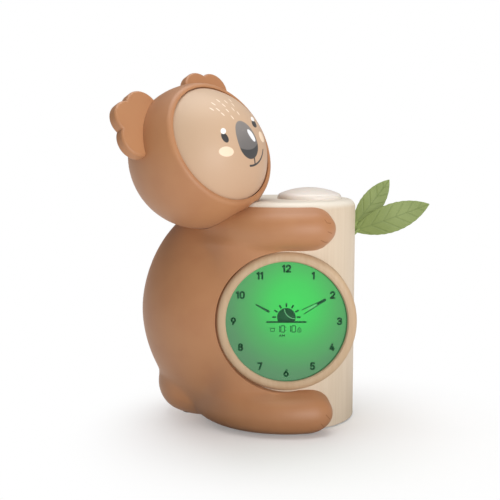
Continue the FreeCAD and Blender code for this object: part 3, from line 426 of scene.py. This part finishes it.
def arc(centre, radii, start, end, steps=20):
    """Points of an ellipse's arc between two angles in degrees."""
    turn = np.radians(np.linspace(start, end, steps))
    return np.stack([centre[0] + radii[0] * np.cos(turn), centre[1] + radii[1] * np.sin(turn)], axis=1)


# %% [markdown]
# The digits are drawn from straight lines and arcs in a box 1.76 mm wide and 2.98 mm tall, measured on the
# middle of the stroke. A font would bring its own style, and these need only ten plain shapes. A nine is a
# six turned upside down.

# %% Digits
digit_half = 0.88
digit_rise = 1.49
bowl = digit_rise - digit_half
one_width = 1.3
digit_width = 2 * digit_half + 0.65
digit_gap = 0.42


def digit_lines(figure):
    """The lines of one digit about its own middle, in millimetres: w is half its width, h half its height."""
    w, h = digit_half, digit_rise
    if figure == "0":
        top, foot = arc((0, bowl), (w, w), 0, 180), arc((0, -bowl), (w, w), 180, 360)
        return [np.concatenate([top, foot, [(w, bowl)]])]
    if figure == "1":
        return [line((0.3, -h), (0.3, h)), line((0.3, h), (-0.38, h - 0.5))]
    if figure == "2":
        neck = np.concatenate([arc((0, bowl), (w, w), 165, -38), line((0.5, -0.15), (-w, -h))])
        return [neck, line((-w, -h), (w, -h))]
    if figure == "3":
        return [arc((0, 0.74), (0.8, 0.75), 155, -90), arc((0, -0.66), (w, 0.83), 90, -155),
                line((-0.1, 0.03), (0.2, 0.03))]
    if figure == "4":
        return [line((0.15, h), (-w, -0.75)), line((-w, -0.75), (w, -0.75)), line((0.4, 0.15), (0.4, -h))]
    if figure == "5":
        return [line((0.75, h), (-0.62, h)), line((-0.62, h), (-0.74, 0.15)),
                arc((-0.02, -0.6), (0.9, 0.89), 128, -150)]
    if figure == "6":
        return [arc((0, -0.6), (w, 0.89), 0, 360, 32), line((-0.72, -0.1), (0.28, h))]
    if figure == "7":
        return [line((-0.85, h), (0.85, h)), line((0.85, h), (-0.2, -h))]
    if figure == "8":
        return [arc((0, 0.77), (0.74, 0.72), 0, 360, 28), arc((0, -0.68), (w, 0.81), 0, 360, 32)]
    return [-part for part in digit_lines("6")]


def number_lines(text):
    """The digits of a number side by side about its middle."""
    widths = [one_width if figure == "1" else digit_width for figure in text]
    left = -(sum(widths) + digit_gap * (len(text) - 1)) / 2
    lines = []
    for figure, width in zip(text, widths):
        lines += [part + (left + width / 2, 0) for part in digit_lines(figure)]
        left += width + digit_gap
    return lines


# %% [markdown]
# Twelve numbers stand upright in a circle. The hands are segments too: they show ten past ten and don't
# turn. The hour hand is one tapered stroke. The minute hand is an open frame that draws in towards a solid
# tip.

# %% Numbers and hands
number_ring = 25.7
number_weight = 0.94
hour_angle = 151.0
hour_start = 9.9
hour_end = 16.7
hour_weights = (1.2, 0.7)
minute_angle = 29.4
minute_start = 9.3
minute_end = 21.2
minute_weight = 1.45
frame_end = 17.6
frame_half = 1.1
frame_taper = 0.55
thin_weight = 0.42


def on_dial(points, height):
    """Millimetres on the dial, and a height in front of the panel, as places in the frame."""
    points = np.asarray(points)
    return np.stack([points[:, 0] * mm + dial_x, np.full(len(points), panel_front - height),
                     points[:, 1] * mm + dial_z], axis=1)


def hour_spot(hour):
    """A number's place: clockwise from the top, a twelfth of a turn for each hour."""
    turn = math.radians(30 * hour)
    return number_ring * math.sin(turn), number_ring * math.cos(turn)


def along_hand(angle, start, end, side=0.0, side_end=0.0):
    """A line from the dial's middle outwards at an angle above the horizon, moved sideways."""
    out = np.array((math.cos(math.radians(angle)), math.sin(math.radians(angle))))
    aside = np.array((-out[1], out[0]))
    return line(out * start + aside * side, out * end + aside * side_end)


numbers = [(part + hour_spot(hour), number_weight)
           for hour in range(1, 13) for part in number_lines(str(hour))]
hour_hand = along_hand(hour_angle, hour_start, hour_end)
hands = [(hour_hand, np.linspace(*hour_weights, len(hour_hand))),
         (along_hand(minute_angle, frame_end, minute_end), minute_weight)]
for side in (-frame_half, frame_half):
    hands.append((along_hand(minute_angle, minute_start, frame_end, side, frame_taper * side), thin_weight))
print("strokes in the numbers", len(numbers), "and in the hands", len(hands))

# %% [markdown]
# Between the hands a sun stands half over a horizon, with seven rays. Its disc is one stroke from bottom to
# top whose width at each height is the circle's own, so it ends flat on the horizon. Two pale lines cross
# the dark shapes: a curve on the disc and the bright middle of the minute hand.

# %% Sun
sun_radius = 4.5
sun_height = 2.0
horizon = -0.4
horizon_half = 9.4
horizon_weight = 0.86
ray_start = 5.3
ray_end = 6.5
ray_weight = 0.84
disc_foot = 0.02

sun_shape = [(line((-horizon_half, horizon), (horizon_half, horizon)), horizon_weight)]
for turn in np.radians(np.arange(0, 181, 30)):
    out = np.array((math.cos(turn), math.sin(turn)))
    ray = line(out * ray_start + (0, sun_height), out * ray_end + (0, sun_height))
    sun_shape.append((ray, ray_weight))
disc_turns = np.linspace(math.asin((horizon - sun_height) / sun_radius), math.pi / 2, 24)
disc_rows = np.append(horizon - disc_foot, sun_height + sun_radius * np.sin(disc_turns))
disc_widths = np.append(0.0, 2 * sun_radius * np.cos(disc_turns))
sun_shape.append((np.stack([np.zeros(len(disc_rows)), disc_rows], axis=1), disc_widths))
pale_lines = [(arc((4.0, 6.2), (4.95, 4.95), 184, 271), 0.3), (along_hand(29.0, 12.3, 16.3), 0.5)]
print("strokes in the sun", len(sun_shape))

# %% [markdown]
# Under the sun lies a row with the time in seven-bar digits, a clock mark on its left and a bell mark on
# its right. Two small letters below it say that it is morning.

# %% Time and small marks
time_row = -3.8
time_digits = (("1", -4.1), ("0", -1.75), ("1", 1.2), ("0", 3.6))
colon_half = 0.8
mark_weight = 0.32


def seven_segment(figure, x, y, width=1.75, height=3.1, gap=0.22):
    """A small digit from the seven bars of a display."""
    lit = {"1": "bc", "0": "abcdef"}[figure]
    half, mid = width / 2, height / 2
    bars = {"a": ((-half + gap, mid), (half - gap, mid)), "b": ((half, gap), (half, mid - gap)),
            "c": ((half, -mid + gap), (half, -gap)), "d": ((-half + gap, -mid), (half - gap, -mid)),
            "e": ((-half, -mid + gap), (-half, -gap)), "f": ((-half, gap), (-half, mid - gap))}
    return [line(*bars[bar]) + (x, y) for bar in lit]


time_bars = [part for figure, x in time_digits for part in seven_segment(figure, x, time_row)]
time_bars += [line((-0.3, y), (-0.28, y)) for y in (time_row - colon_half, time_row + colon_half)]
clock_mark = [line((-7.6, -5.0), (-7.7, -3.5), (-5.8, -3.5), (-5.9, -5.0), (-7.6, -5.0)),
              line((-8.0, -3.4), (-7.7, -3.5)), line((-5.5, -3.4), (-5.8, -3.5))]
bell_mark = [np.concatenate([line((6.3, -3.0), (5.6, -4.1)), arc((6.3, -4.55), (0.9, 0.9), 165, 375),
                             line((7.0, -4.1), (6.3, -3.0))]),
             line((6.2, -4.0), (6.2, -4.6), (6.6, -4.9))]
letters = [line((-3.4, -7.6), (-2.9, -6.6), (-2.4, -7.6)), line((-3.2, -7.3), (-2.6, -7.3)),
           line((-1.9, -7.6), (-1.9, -6.6), (-1.35, -7.2), (-0.8, -6.6), (-0.8, -7.6))]
small_marks = [(part, thin_weight) for part in time_bars]
small_marks += [(part, mark_weight) for part in clock_mark + bell_mark + letters]
print("strokes in the small marks", len(small_marks))

# %% [markdown]
# Now the strokes become pieces. They lie a few hundredths of a millimetre proud of the panel, under the
# lens, and the pale lines lie a little higher than the dark shapes that they cross.

# %% Segments of the display
segment_lift = 0.04 * mm
segment_dark = Finish("segment_dark", Base_Color=paint(14, 62, 34), Roughness=0.6, Specular_IOR_Level=0.1)
segment_pale = Finish("segment_pale", Base_Color=paint(60, 110, 76), Roughness=0.6,
                      Emission_Color=paint(104, 190, 118), Emission_Strength=0.6)
for name, strokes, finish, lift in (
        ("dial_numbers", numbers, segment_dark, segment_lift),
        ("dial_hands", hands, segment_dark, segment_lift),
        ("dial_sun", sun_shape, segment_dark, segment_lift),
        ("dial_small_marks", small_marks, segment_dark, segment_lift),
        ("dial_pale_lines", pale_lines, segment_pale, 2 * segment_lift)):
    piece = print_strokes(name, strokes, on_dial, lift)
    piece.data.materials.append(finish.material)
    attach(piece, "case")

# %% [markdown]
# The four round buttons at the back each carry a raised mark, so that a hand can find them in the dark. A
# mark is laid out as seen from behind, where the frame's X runs to the left, and it moves with its own
# button.

# %% Marks on the rear buttons
mark_half = 1.5
raised_mark = 0.12 * mm
clock_ring = arc((0, 0), (mark_half, mark_half), 0, 360, 40)
bell_outline = np.concatenate([line((-mark_half, -0.9), (-1.1, -0.4)), arc((0, 0.2), (1.05, 1.2), 180, 0),
                               line((1.1, -0.4), (mark_half, -0.9), (-mark_half, -0.9))])
level_bar = line((-mark_half, 0), (mark_half, 0))
button_marks = {
    "plus_button": [level_bar, line((0, -mark_half), (0, mark_half))],
    "minus_button": [level_bar],
    "set_button": [clock_ring, line((0, 0.9), (0, 0), (0.7, -0.3))],
    "alarm_button": [bell_outline, line((-0.3, -mark_half), (0.3, -mark_half))]}
mark_pale = moulding("mark_pale", paint(226, 208, 186), 0.5)


def on_button(name):
    """A function that places a mark's points on a button's outer face."""
    low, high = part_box(name)
    middle = (low + high) / 2

    def place(points, height):
        return np.stack([middle.x - points[:, 0] * mm, np.full(len(points), high.y + height),
                         middle.z + points[:, 1] * mm], axis=1)
    return place


for name, lines in button_marks.items():
    strokes = [(part, thin_weight) for part in lines]
    mark = print_strokes(name + "_mark", strokes, on_button(name), raised_mark)
    mark.data.materials.append(mark_pale.material)
    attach(mark, name)

# %% [markdown]
# The dome's spring shortens when the dome is pressed, so it can't stay rigid. It is worked out as a tube
# along a helix inside the solid spring's own box.

# %% Dome spring
spring_wire = 0.35 * mm
spring_turns = 4


def coil(name, low, high, sides=10, steps=48):
    """A round wire in a box. A circle of the wire's radius is carried round the box's upright axis, and its
    height grows evenly with the turn."""
    middle = (low + high) / 2
    mean = (high.x - low.x) / 2 - spring_wire
    turn = np.linspace(0, 2 * math.pi * spring_turns, spring_turns * steps + 1)[:, None]
    around = np.linspace(0, 2 * math.pi, sides, endpoint=False)[None, :]
    reach = mean + spring_wire * np.cos(around)
    rise = (high.z - low.z - 2 * spring_wire) * turn / turn[-1]
    points = np.stack([middle.x + reach * np.cos(turn), middle.y + reach * np.sin(turn),
                       low.z + spring_wire + rise + spring_wire * np.sin(around)], axis=-1)
    last = sides * (len(turn) - 1)
    caps = [[*range(sides)], [*range(last + sides - 1, last - 1, -1)]]
    return add_mesh(name, points.reshape(-1, 3), grid_faces(len(turn), sides, True) + caps, smooth=True)


spring_low, spring_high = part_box("dome_spring")
spring = coil("dome_spring_coil", spring_low, spring_high)
spring.data.materials.append(spring_steel.material)
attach(spring, "case")
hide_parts("dome_spring")
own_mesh(spring)

# %% [markdown]
# Short darker lines at the tips of the near arm and leg stand for claws; they are painted shade in the claw
# creases. Each is laid out in millimetres round the trunk and up, and a ray towards the trunk's axis finds
# the vinyl under every point.

# %% Painted shade of the claw creases
crease_azimuth = 294.0
crease_reach = 45.0
crease_width = 0.4
crease_lift = 0.05 * mm
crease_sink = 0.02 * mm
ray_distance = 100.0 * mm
crease_shade_lines = [line((-0.5, 104.8), (0.3, 103.4), (2.8, 103.0)), line((0.5, 99.2), (3.1, 98.3)),
           line((-2.7, 95.2), (0.0, 94.1), (1.9, 94.0)), line((-0.3, 10.9), (2.6, 7.9)),
           line((-2.9, 6.9), (-0.8, 4.6))]
body_mesh = nodes["koala_body"].data
body_surface = BVHTree.FromPolygons([v.co for v in body_mesh.vertices],
                                    [p.vertices for p in body_mesh.polygons])


def on_vinyl(points, height):
    """Places of points on the koala's body, from millimetres round the trunk and up."""
    places = []
    for around, up in points:
        azimuth = math.radians(crease_azimuth) + around / crease_reach
        out = Vector((math.cos(azimuth), math.sin(azimuth), 0))
        hit, normal, _, _ = body_surface.ray_cast(out * ray_distance + Vector((0, 0, up * mm)), -out)
        places.append(hit + normal * (height - crease_sink))
    return np.array(places)


# A darker brown than the vinyl, painted as the shade that falls into the claw creases.
painted_crease_shade = Finish("painted_crease_shade", Base_Color=paint(150, 100, 62), Roughness=0.6)
claw_shade_piece = print_strokes("claw_crease_shade", [(part, crease_width) for part in crease_shade_lines], on_vinyl, crease_lift)
claw_shade_piece.data.materials.append(painted_crease_shade.material)
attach(claw_shade_piece, "case")

# %% [markdown]
# The face is printed on a domed plate. Its marks are worked out in the head's own directions: X to the
# koala's left, Y up and Z out of the face. A Mapping node turns the place into them, and each mark is a
# mask there. All sizes are millimetres on the face, leans are in degrees, and a pair is where a mark's soft
# edge starts and ends.

# %% Printed face
head_centre = Vector((-41.7, -20.0, 134.2)) * mm
face_out = Vector((0.650, -0.647, 0.399)).normalized()
face_lean = math.radians(16.2)

# An oval is its middle's X and Y, its half width, its half height and its lean
near_cheek = (-13.2, -6.0, 3.6, 2.2, -28)
far_cheek = (14.8, -6.0, 3.1, 2.7, 0)
eyes = (((-11.2, 0.0, 1.5, 2.5, 3), (-10.3, 3.1, 1.5, 1.25, 43)),
        ((12.5, 0.9, 2.6, 1.9, 15), (14.2, 3.5, 2.2, 1.2, 12)))
nose_shine = (4.6, -3.9, 1.6, 3.4, 19)
forehead_hairs = ((-7.4, 14.9), (-4.05, 17.1), (0.1, 17.7), (-5.0, 13.5), (0.1, 14.45), (3.7, 15.9),
                  (7.9, 16.0), (-4.8, 10.5), (-0.8, 11.3), (6.25, 13.2), (3.25, 11.0), (4.45, 8.25),
                  (-1.2, 7.3))
hair_half_width = 0.3
hair_half_length = 1.15
hair_fan = -1.5

nose_x = 0.75
nose_y = -6.6
nose_half_width = 6.75
nose_rise = 11.2
nose_drop = 7.4
nose_shade = (-9.95, -9.65)
nose_shade_curve = 0.046
mouth_x = 1.6
mouth_line = (0.36, 0.5)
smile_x = 1.3
smile_y = -3.95
smile_radius = 12.9
smile_top = (-11.7, -11.5)
smile_end = (-2.6, -2.4)
stem_top = (-13.4, -13.2)
stem_foot = (-16.9, -16.8)

plate_low_tone = paint(198, 163, 133)
plate_high_tone = paint(201, 171, 142)
cheek_pale = paint(244, 217, 188)
hair_pale = paint(240, 222, 202)
eye_dark = paint(58, 56, 56)
spot_white = paint(246, 243, 240)


def face_turn():
    """The head's directions as one rotation: X level and to its left, then leaned about the way it looks."""
    side = Vector((0, 0, 1)).cross(face_out).normalized()
    up = face_out.cross(side)
    left = side * math.cos(face_lean) + up * math.sin(face_lean)
    crown = up * math.cos(face_lean) - side * math.sin(face_lean)
    return Matrix((left, crown, face_out)).transposed()


def printed_face():
    """Plate colour, then cheeks, forehead hairs, eyes, mouth and nose over it, each by its own mask."""
    made = Finish("face_print", Roughness=0.46, Specular_IOR_Level=0.35, Sheen_Weight=0.08)
    turned = made.node("ShaderNodeMapping", {"vector_type": "TEXTURE"},
                       {"Vector": made.place(), "Location": head_centre, "Rotation": face_turn().to_euler()})
    x, y, _ = [part / mm for part in made.parts(turned)]

    def inside(distance, edge):
        """1 where a distance is under 1, with a soft edge."""
        return 1.0 - made.step(distance, 1.0 - edge, 1.0 + edge)

    def oval(centre_x, centre_y, half_x, half_y, lean, edge=0.07):
        """1 inside a leaning ellipse: the distance in its own directions, each divided by its half size."""
        c, s = math.cos(math.radians(lean)), math.sin(math.radians(lean))
        across = (x - centre_x) * c + (y - centre_y) * s
        up = (y - centre_y) * c - (x - centre_x) * s
        u, v = across / half_x, up / half_y
        return inside((u * u + v * v).math("SQRT"), edge)

    def near(distance):
        """1 within half a mouth line's width of a curve."""
        return 1.0 - made.step(distance.math("ABSOLUTE"), *mouth_line)

    colour = made.mix(made.step(y, -24.0, 22.0), plate_low_tone, plate_high_tone)
    colour = made.mix(oval(*near_cheek).math("MAXIMUM", oval(*far_cheek)), colour, cheek_pale)
    hair = 0.0
    for hair_x, hair_y in forehead_hairs:
        lean = (hair_x - 1.0) * hair_fan
        hair = oval(hair_x, hair_y, hair_half_width, hair_half_length, lean, 0.2).math("MAXIMUM", hair)
    colour = made.mix(hair, colour, hair_pale)
    for eye, spot in eyes:
        colour = made.mix(oval(*eye, 0.06), colour, eye_dark)
        colour = made.mix(oval(*spot, 0.08), colour, spot_white)

    smile_across, smile_up = x - smile_x, y - smile_y
    smile = near((smile_across * smile_across + smile_up * smile_up).math("SQRT") - smile_radius)
    smile = smile * (1.0 - made.step(y, *smile_top)) * made.step(x, *smile_end)
    stem = near(x - mouth_x) * (1.0 - made.step(y, *stem_top)) * made.step(y, *stem_foot)
    colour = made.mix(smile.math("MAXIMUM", stem), colour, eye_dark)

    across = (x - nose_x) / nose_half_width
    up = ((y - nose_y) / nose_rise).math("MAXIMUM", (y - nose_y) / -nose_drop)
    grey = made.mix(made.step(y, -9.0, 3.0), paint(112, 108, 106), paint(134, 128, 124))
    fold = y - (x - mouth_x) * (x - mouth_x) * nose_shade_curve
    grey = made.mix(1.0 - made.step(fold, *nose_shade), grey, paint(70, 69, 69))
    grey = made.mix(oval(*nose_shine, 0.06), grey, paint(238, 238, 240))
    colour = made.mix(inside((across * across + up * up).math("SQRT"), 0.025), colour, grey)
    made.set(Base_Color=colour)
    return made.bump(made.noise(made.place(), fine_grain, 2.0), grain_depth, 0.3)


dress(printed_face(), "face_plate")

# %% [markdown]
# The leaves are thin soft vinyl. A flat blade would look cut from card, so each is a grid: one direction
# runs from stalk to tip, the other across. The same arcs that bound the solid leaf give the width. The
# blade is dished, and its midrib and side veins are shallow grooves. How deep a point lies in a vein is
# kept as an attribute, and the finish is painted darker there as shade in the grooves.

# %% Leaf blades
leaf_dish = 90.0
leaf_wall = 1.1
widest_share = 0.46
edge_inset = 0.985
edge_wave = 0.012
tip_margin = 0.004
rim_share = 0.35
rim_slope = 6
veined_share = 0.92
vein_slant = 1.15
vein_gap_share = 0.66
vein_width = 0.26
vein_depth = 0.13
vein_fade = 5
rib_width = 0.3
rib_depth = 0.12
ridge_width = 0.9
ridge_height = 0.16


def leaf_green():
    """Leaf: two greens by a broad noise, painted shade in the vein grooves, with a fine leathery grain."""
    made = Finish("leaf_green", Roughness=0.5, Specular_IOR_Level=0.35)
    vein = made.node("ShaderNodeAttribute", {"attribute_name": "vein"}, output=2)
    patch = made.noise(made.place(), 90.0, 3.0)
    green = made.mix(made.step(patch, 0.3, 0.7), paint(132, 147, 83), paint(123, 138, 74))
    # The veins are painted darker by their depth: painted shade in the grooves.
    made.set(Base_Color=made.mix(vein * 0.5, green, paint(98, 114, 60)))
    return made.bump(made.noise(made.place(), 1800.0, 3.0), 0.05 * mm, 0.4)


def half_width(x, length, width):
    """A leaf's half width: an arc through stalk and tip that reaches the full half width near the middle."""
    bow = (width / 2) ** 2 - (widest_share * length) * ((1 - widest_share) * length)
    sag = bow / width
    bow_radius = math.hypot(length / 2, sag)
    return np.sqrt(bow_radius ** 2 - (x - length / 2) ** 2) + sag


def blade_grid(length, width, side_veins, rows, columns):
    """A blade lying flat, in millimetres: x along it, y across it, the heights of its top and underside, and
    how deep each point lies in a vein. The height is a sphere's dish, less a bell-shaped groove at every
    vein."""
    share = np.linspace(tip_margin, 1 - tip_margin, rows)[:, None]
    side = np.linspace(-1, 1, columns)[None, :]
    x = share * length + 0 * side
    half = half_width(x, length, width) * (1 + edge_wave * np.sin(share * side_veins * 4 * math.pi))
    y = side * half * edge_inset
    dish = np.sqrt(leaf_dish ** 2 - (x - length / 2) ** 2 - y ** 2) - leaf_dish
    slant = (x - np.abs(y) * vein_slant) / (length * veined_share) * side_veins
    spacing = length * veined_share / side_veins * vein_gap_share
    off_vein = (slant - np.floor(slant) - 0.5) * spacing
    from_edge = 1 - np.abs(side)
    vein = np.exp(-(off_vein / vein_width) ** 2) * np.clip(from_edge * vein_fade, 0, 1) * (slant > 0)
    rib = np.exp(-(y / rib_width) ** 2)
    ridge = ridge_height * np.exp(-(y / ridge_width) ** 2) * (1 - share)
    top = dish + np.minimum(ridge - vein_depth * vein - rib_depth * rib, 0.0)
    under = dish - leaf_wall * np.clip(from_edge * rim_slope + rim_share, 0, 1)
    return x, y, top, under, np.maximum(vein, rib)


leaf_finish = leaf_green()
dress(leaf_finish, "leaf_stem", "leaf_upper", "leaf_side")

# %% [markdown]
# A blade's grid is turned into the leaf's own directions, its top and underside are joined round the rim,
# and a round stalk runs from the stem's collar on the trunk to a little inside the blade.

# %% Leaves
stem_azimuth = math.radians(15.5)
collar_reach = 38.05
collar_height = 94.0
collar = Vector((collar_reach * math.cos(stem_azimuth), collar_reach * math.sin(stem_azimuth), collar_height))
stalk_radius = 0.9
stalk_root = 3.5
stalk_spacing = 1.5

# Base, tip, width, number of side veins, and whether the stalk seats above or below the collar's middle
leaf_shapes = {"leaf_upper": ((37.6, 13.6, 96.6), (56.9, 16.1, 121.6), 12.0, 5, 1),
               "leaf_side": ((37.2, 10.6, 94.2), (78.4, 12.95, 108.6), 15.2, 6, -1)}


def stalk(name, seat, root, sides=16):
    """A round stalk: a circle at the collar, one at the blade, and a smaller one half a radius further in."""
    along = (root - seat).normalized()
    side = along.cross(Vector((0, 0, 1))).normalized()
    up = side.cross(along)
    turn = np.linspace(0, 2 * math.pi, sides, endpoint=False)
    circle = stalk_radius * (np.outer(np.cos(turn), side) + np.outer(np.sin(turn), up))
    ends = [np.array(seat) + circle, np.array(root) + circle,
            np.array(root + along * 0.5 * stalk_radius) + circle * 0.6]
    caps = [[*range(sides)][::-1], [*range(2 * sides, 3 * sides)]]
    made = add_mesh(name, np.concatenate(ends) * mm, grid_faces(3, sides, True) + caps)
    made.data.materials.append(leaf_finish.material)
    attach(made, "case")


def leaf(name, base, tip, width, side_veins, seat_side, rows=120, columns=61):
    """A leaf from its base to its tip: a blade that faces the front, closed round its rim, and its stalk."""
    base, tip = Vector(base), Vector(tip)
    along = (tip - base).normalized()
    length = (tip - base).length
    out = Vector((0, -1, 0))
    out = (out - along * out.dot(along)).normalized()
    across = out.cross(along)
    x, y, top, under, vein = blade_grid(length, width, side_veins, rows, columns)
    layers = np.concatenate([np.stack([x, y, z], -1).reshape(-1, 3) for z in (top, under)])
    points = (layers @ np.array([along, across, out]) + np.array(base)) * mm
    count = rows * columns
    quads = grid_faces(rows, columns, False)
    rim = [*range(columns), *range(2 * columns - 1, count, columns),
           *range(count - 2, count - columns - 1, -1), *range(count - 2 * columns, 0, -columns)]
    faces = [quad[::-1] for quad in quads] + [[n + count for n in quad] for quad in quads]
    faces += [[a, b, b + count, a + count] for a, b in zip(rim, rim[1:] + rim[:1])]
    blade = add_mesh(name, points, faces, smooth=True)
    marks = blade.data.attributes.new("vein", "FLOAT", "POINT")
    marks.data.foreach_set("value", np.concatenate([vein.ravel(), np.zeros(count)]))
    blade.data.materials.append(leaf_finish.material)
    dip = leaf_dish - math.sqrt(leaf_dish ** 2 - (length / 2 - stalk_root) ** 2) + leaf_wall / 2
    seat = collar + Vector((0, 0, stalk_spacing * seat_side))
    stalk(name + "_stalk", seat, base + along * stalk_root - out * dip)
    return blade


for node, shape in leaf_shapes.items():
    blade = leaf(node + "_veined", *shape)
    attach(blade, "case")
    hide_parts(node)

# %% [markdown]
# A broad lamp nearly overhead gives the soft shadow, and a second one, low in front and to the right,
# throws none. An even, pale surrounding fills in the rest. To the camera the floor is brighter than to the
# clock, so that it doesn't light the clock from below. A few centimetres away it fades into the white
# background, and no horizon shows.

# %% Floor and light
white = (1, 1, 1, 1)
surround_grey = (0.22, 0.22, 0.22, 1)
floor_to_clock = (0.4, 0.4, 0.4, 1)
floor_to_camera = (0.9, 0.9, 0.9, 1)
floor_glow = 0.12
floor_half = 3.0
shadow_centre = Vector((15, -30, 0)) * mm
fade_start = 45 * mm
fade_end = 125 * mm
lamp_aim = Vector((-20, 0, 60)) * mm


def world_light():
    """An even surrounding for the object, and plain white where the camera or a clear part sees it."""
    world = bpy.data.worlds.new("studio")
    scene.world = world
    world.use_nodes = True
    tree = world.node_tree
    path = tree.nodes.new("ShaderNodeLightPath")
    seen = tree.nodes.new("ShaderNodeMath")
    seen.operation = "MAXIMUM"
    tree.links.new(path.outputs["Is Camera Ray"], seen.inputs[0])
    tree.links.new(path.outputs["Is Transmission Ray"], seen.inputs[1])
    shade = tree.nodes.new("ShaderNodeMix")
    shade.data_type = "RGBA"
    shade.inputs[6].default_value = surround_grey
    shade.inputs[7].default_value = white
    tree.links.new(seen.outputs[0], shade.inputs[0])
    tree.links.new(shade.outputs[2], tree.nodes["Background"].inputs[0])


def lamp(name, place, size, power, shadow=True):
    """A square soft lamp that faces the clock."""
    light = bpy.data.lights.new(name, "AREA")
    light.size = size
    light.energy = power
    light.use_shadow = shadow
    made = bpy.data.objects.new(name, light)
    made.location = place
    made.rotation_euler = (lamp_aim - Vector(place)).to_track_quat("-Z", "Y").to_euler()
    scene.collection.objects.link(made)


def floor_white():
    """A pale matt floor that turns into plain white with the distance from the shadow's middle."""
    made = Finish("floor_white", Roughness=0.9, Specular_IOR_Level=0.0)
    seen = made.node("ShaderNodeLightPath", output="Is Camera Ray")
    made.set(Base_Color=made.mix(seen, floor_to_clock, floor_to_camera),
             Emission_Color=white, Emission_Strength=seen * floor_glow)
    away = made.node("ShaderNodeVectorMath", {"operation": "DISTANCE"}, [made.place(), shadow_centre],
                     output="Value")
    plain = made.node("ShaderNodeEmission", None, {"Color": white, "Strength": 1.0})
    blend = made.node("ShaderNodeMixShader", None, {0: made.step(away, fade_start, fade_end)})
    made.tree.links.new(made.shader.outputs[0], blend.socket.node.inputs[1])
    made.tree.links.new(plain.socket, blend.socket.node.inputs[2])
    made.tree.links.new(blend.socket, made.tree.nodes["Material Output"].inputs[0])
    return made


world_light()
lamp("key", (-0.02, 0.06, 0.8), size=0.65, power=4.4)
lamp("front", (0.45, -0.8, 0.22), size=0.5, power=5.6, shadow=False)
floor_corners = [(-floor_half, -floor_half, 0), (floor_half, -floor_half, 0),
                 (floor_half, floor_half, 0), (-floor_half, floor_half, 0)]
floor = add_mesh("floor", np.array(floor_corners), [[0, 1, 2, 3]])
floor.data.materials.append(floor_white().material)
scene.view_settings.view_transform = "Standard"
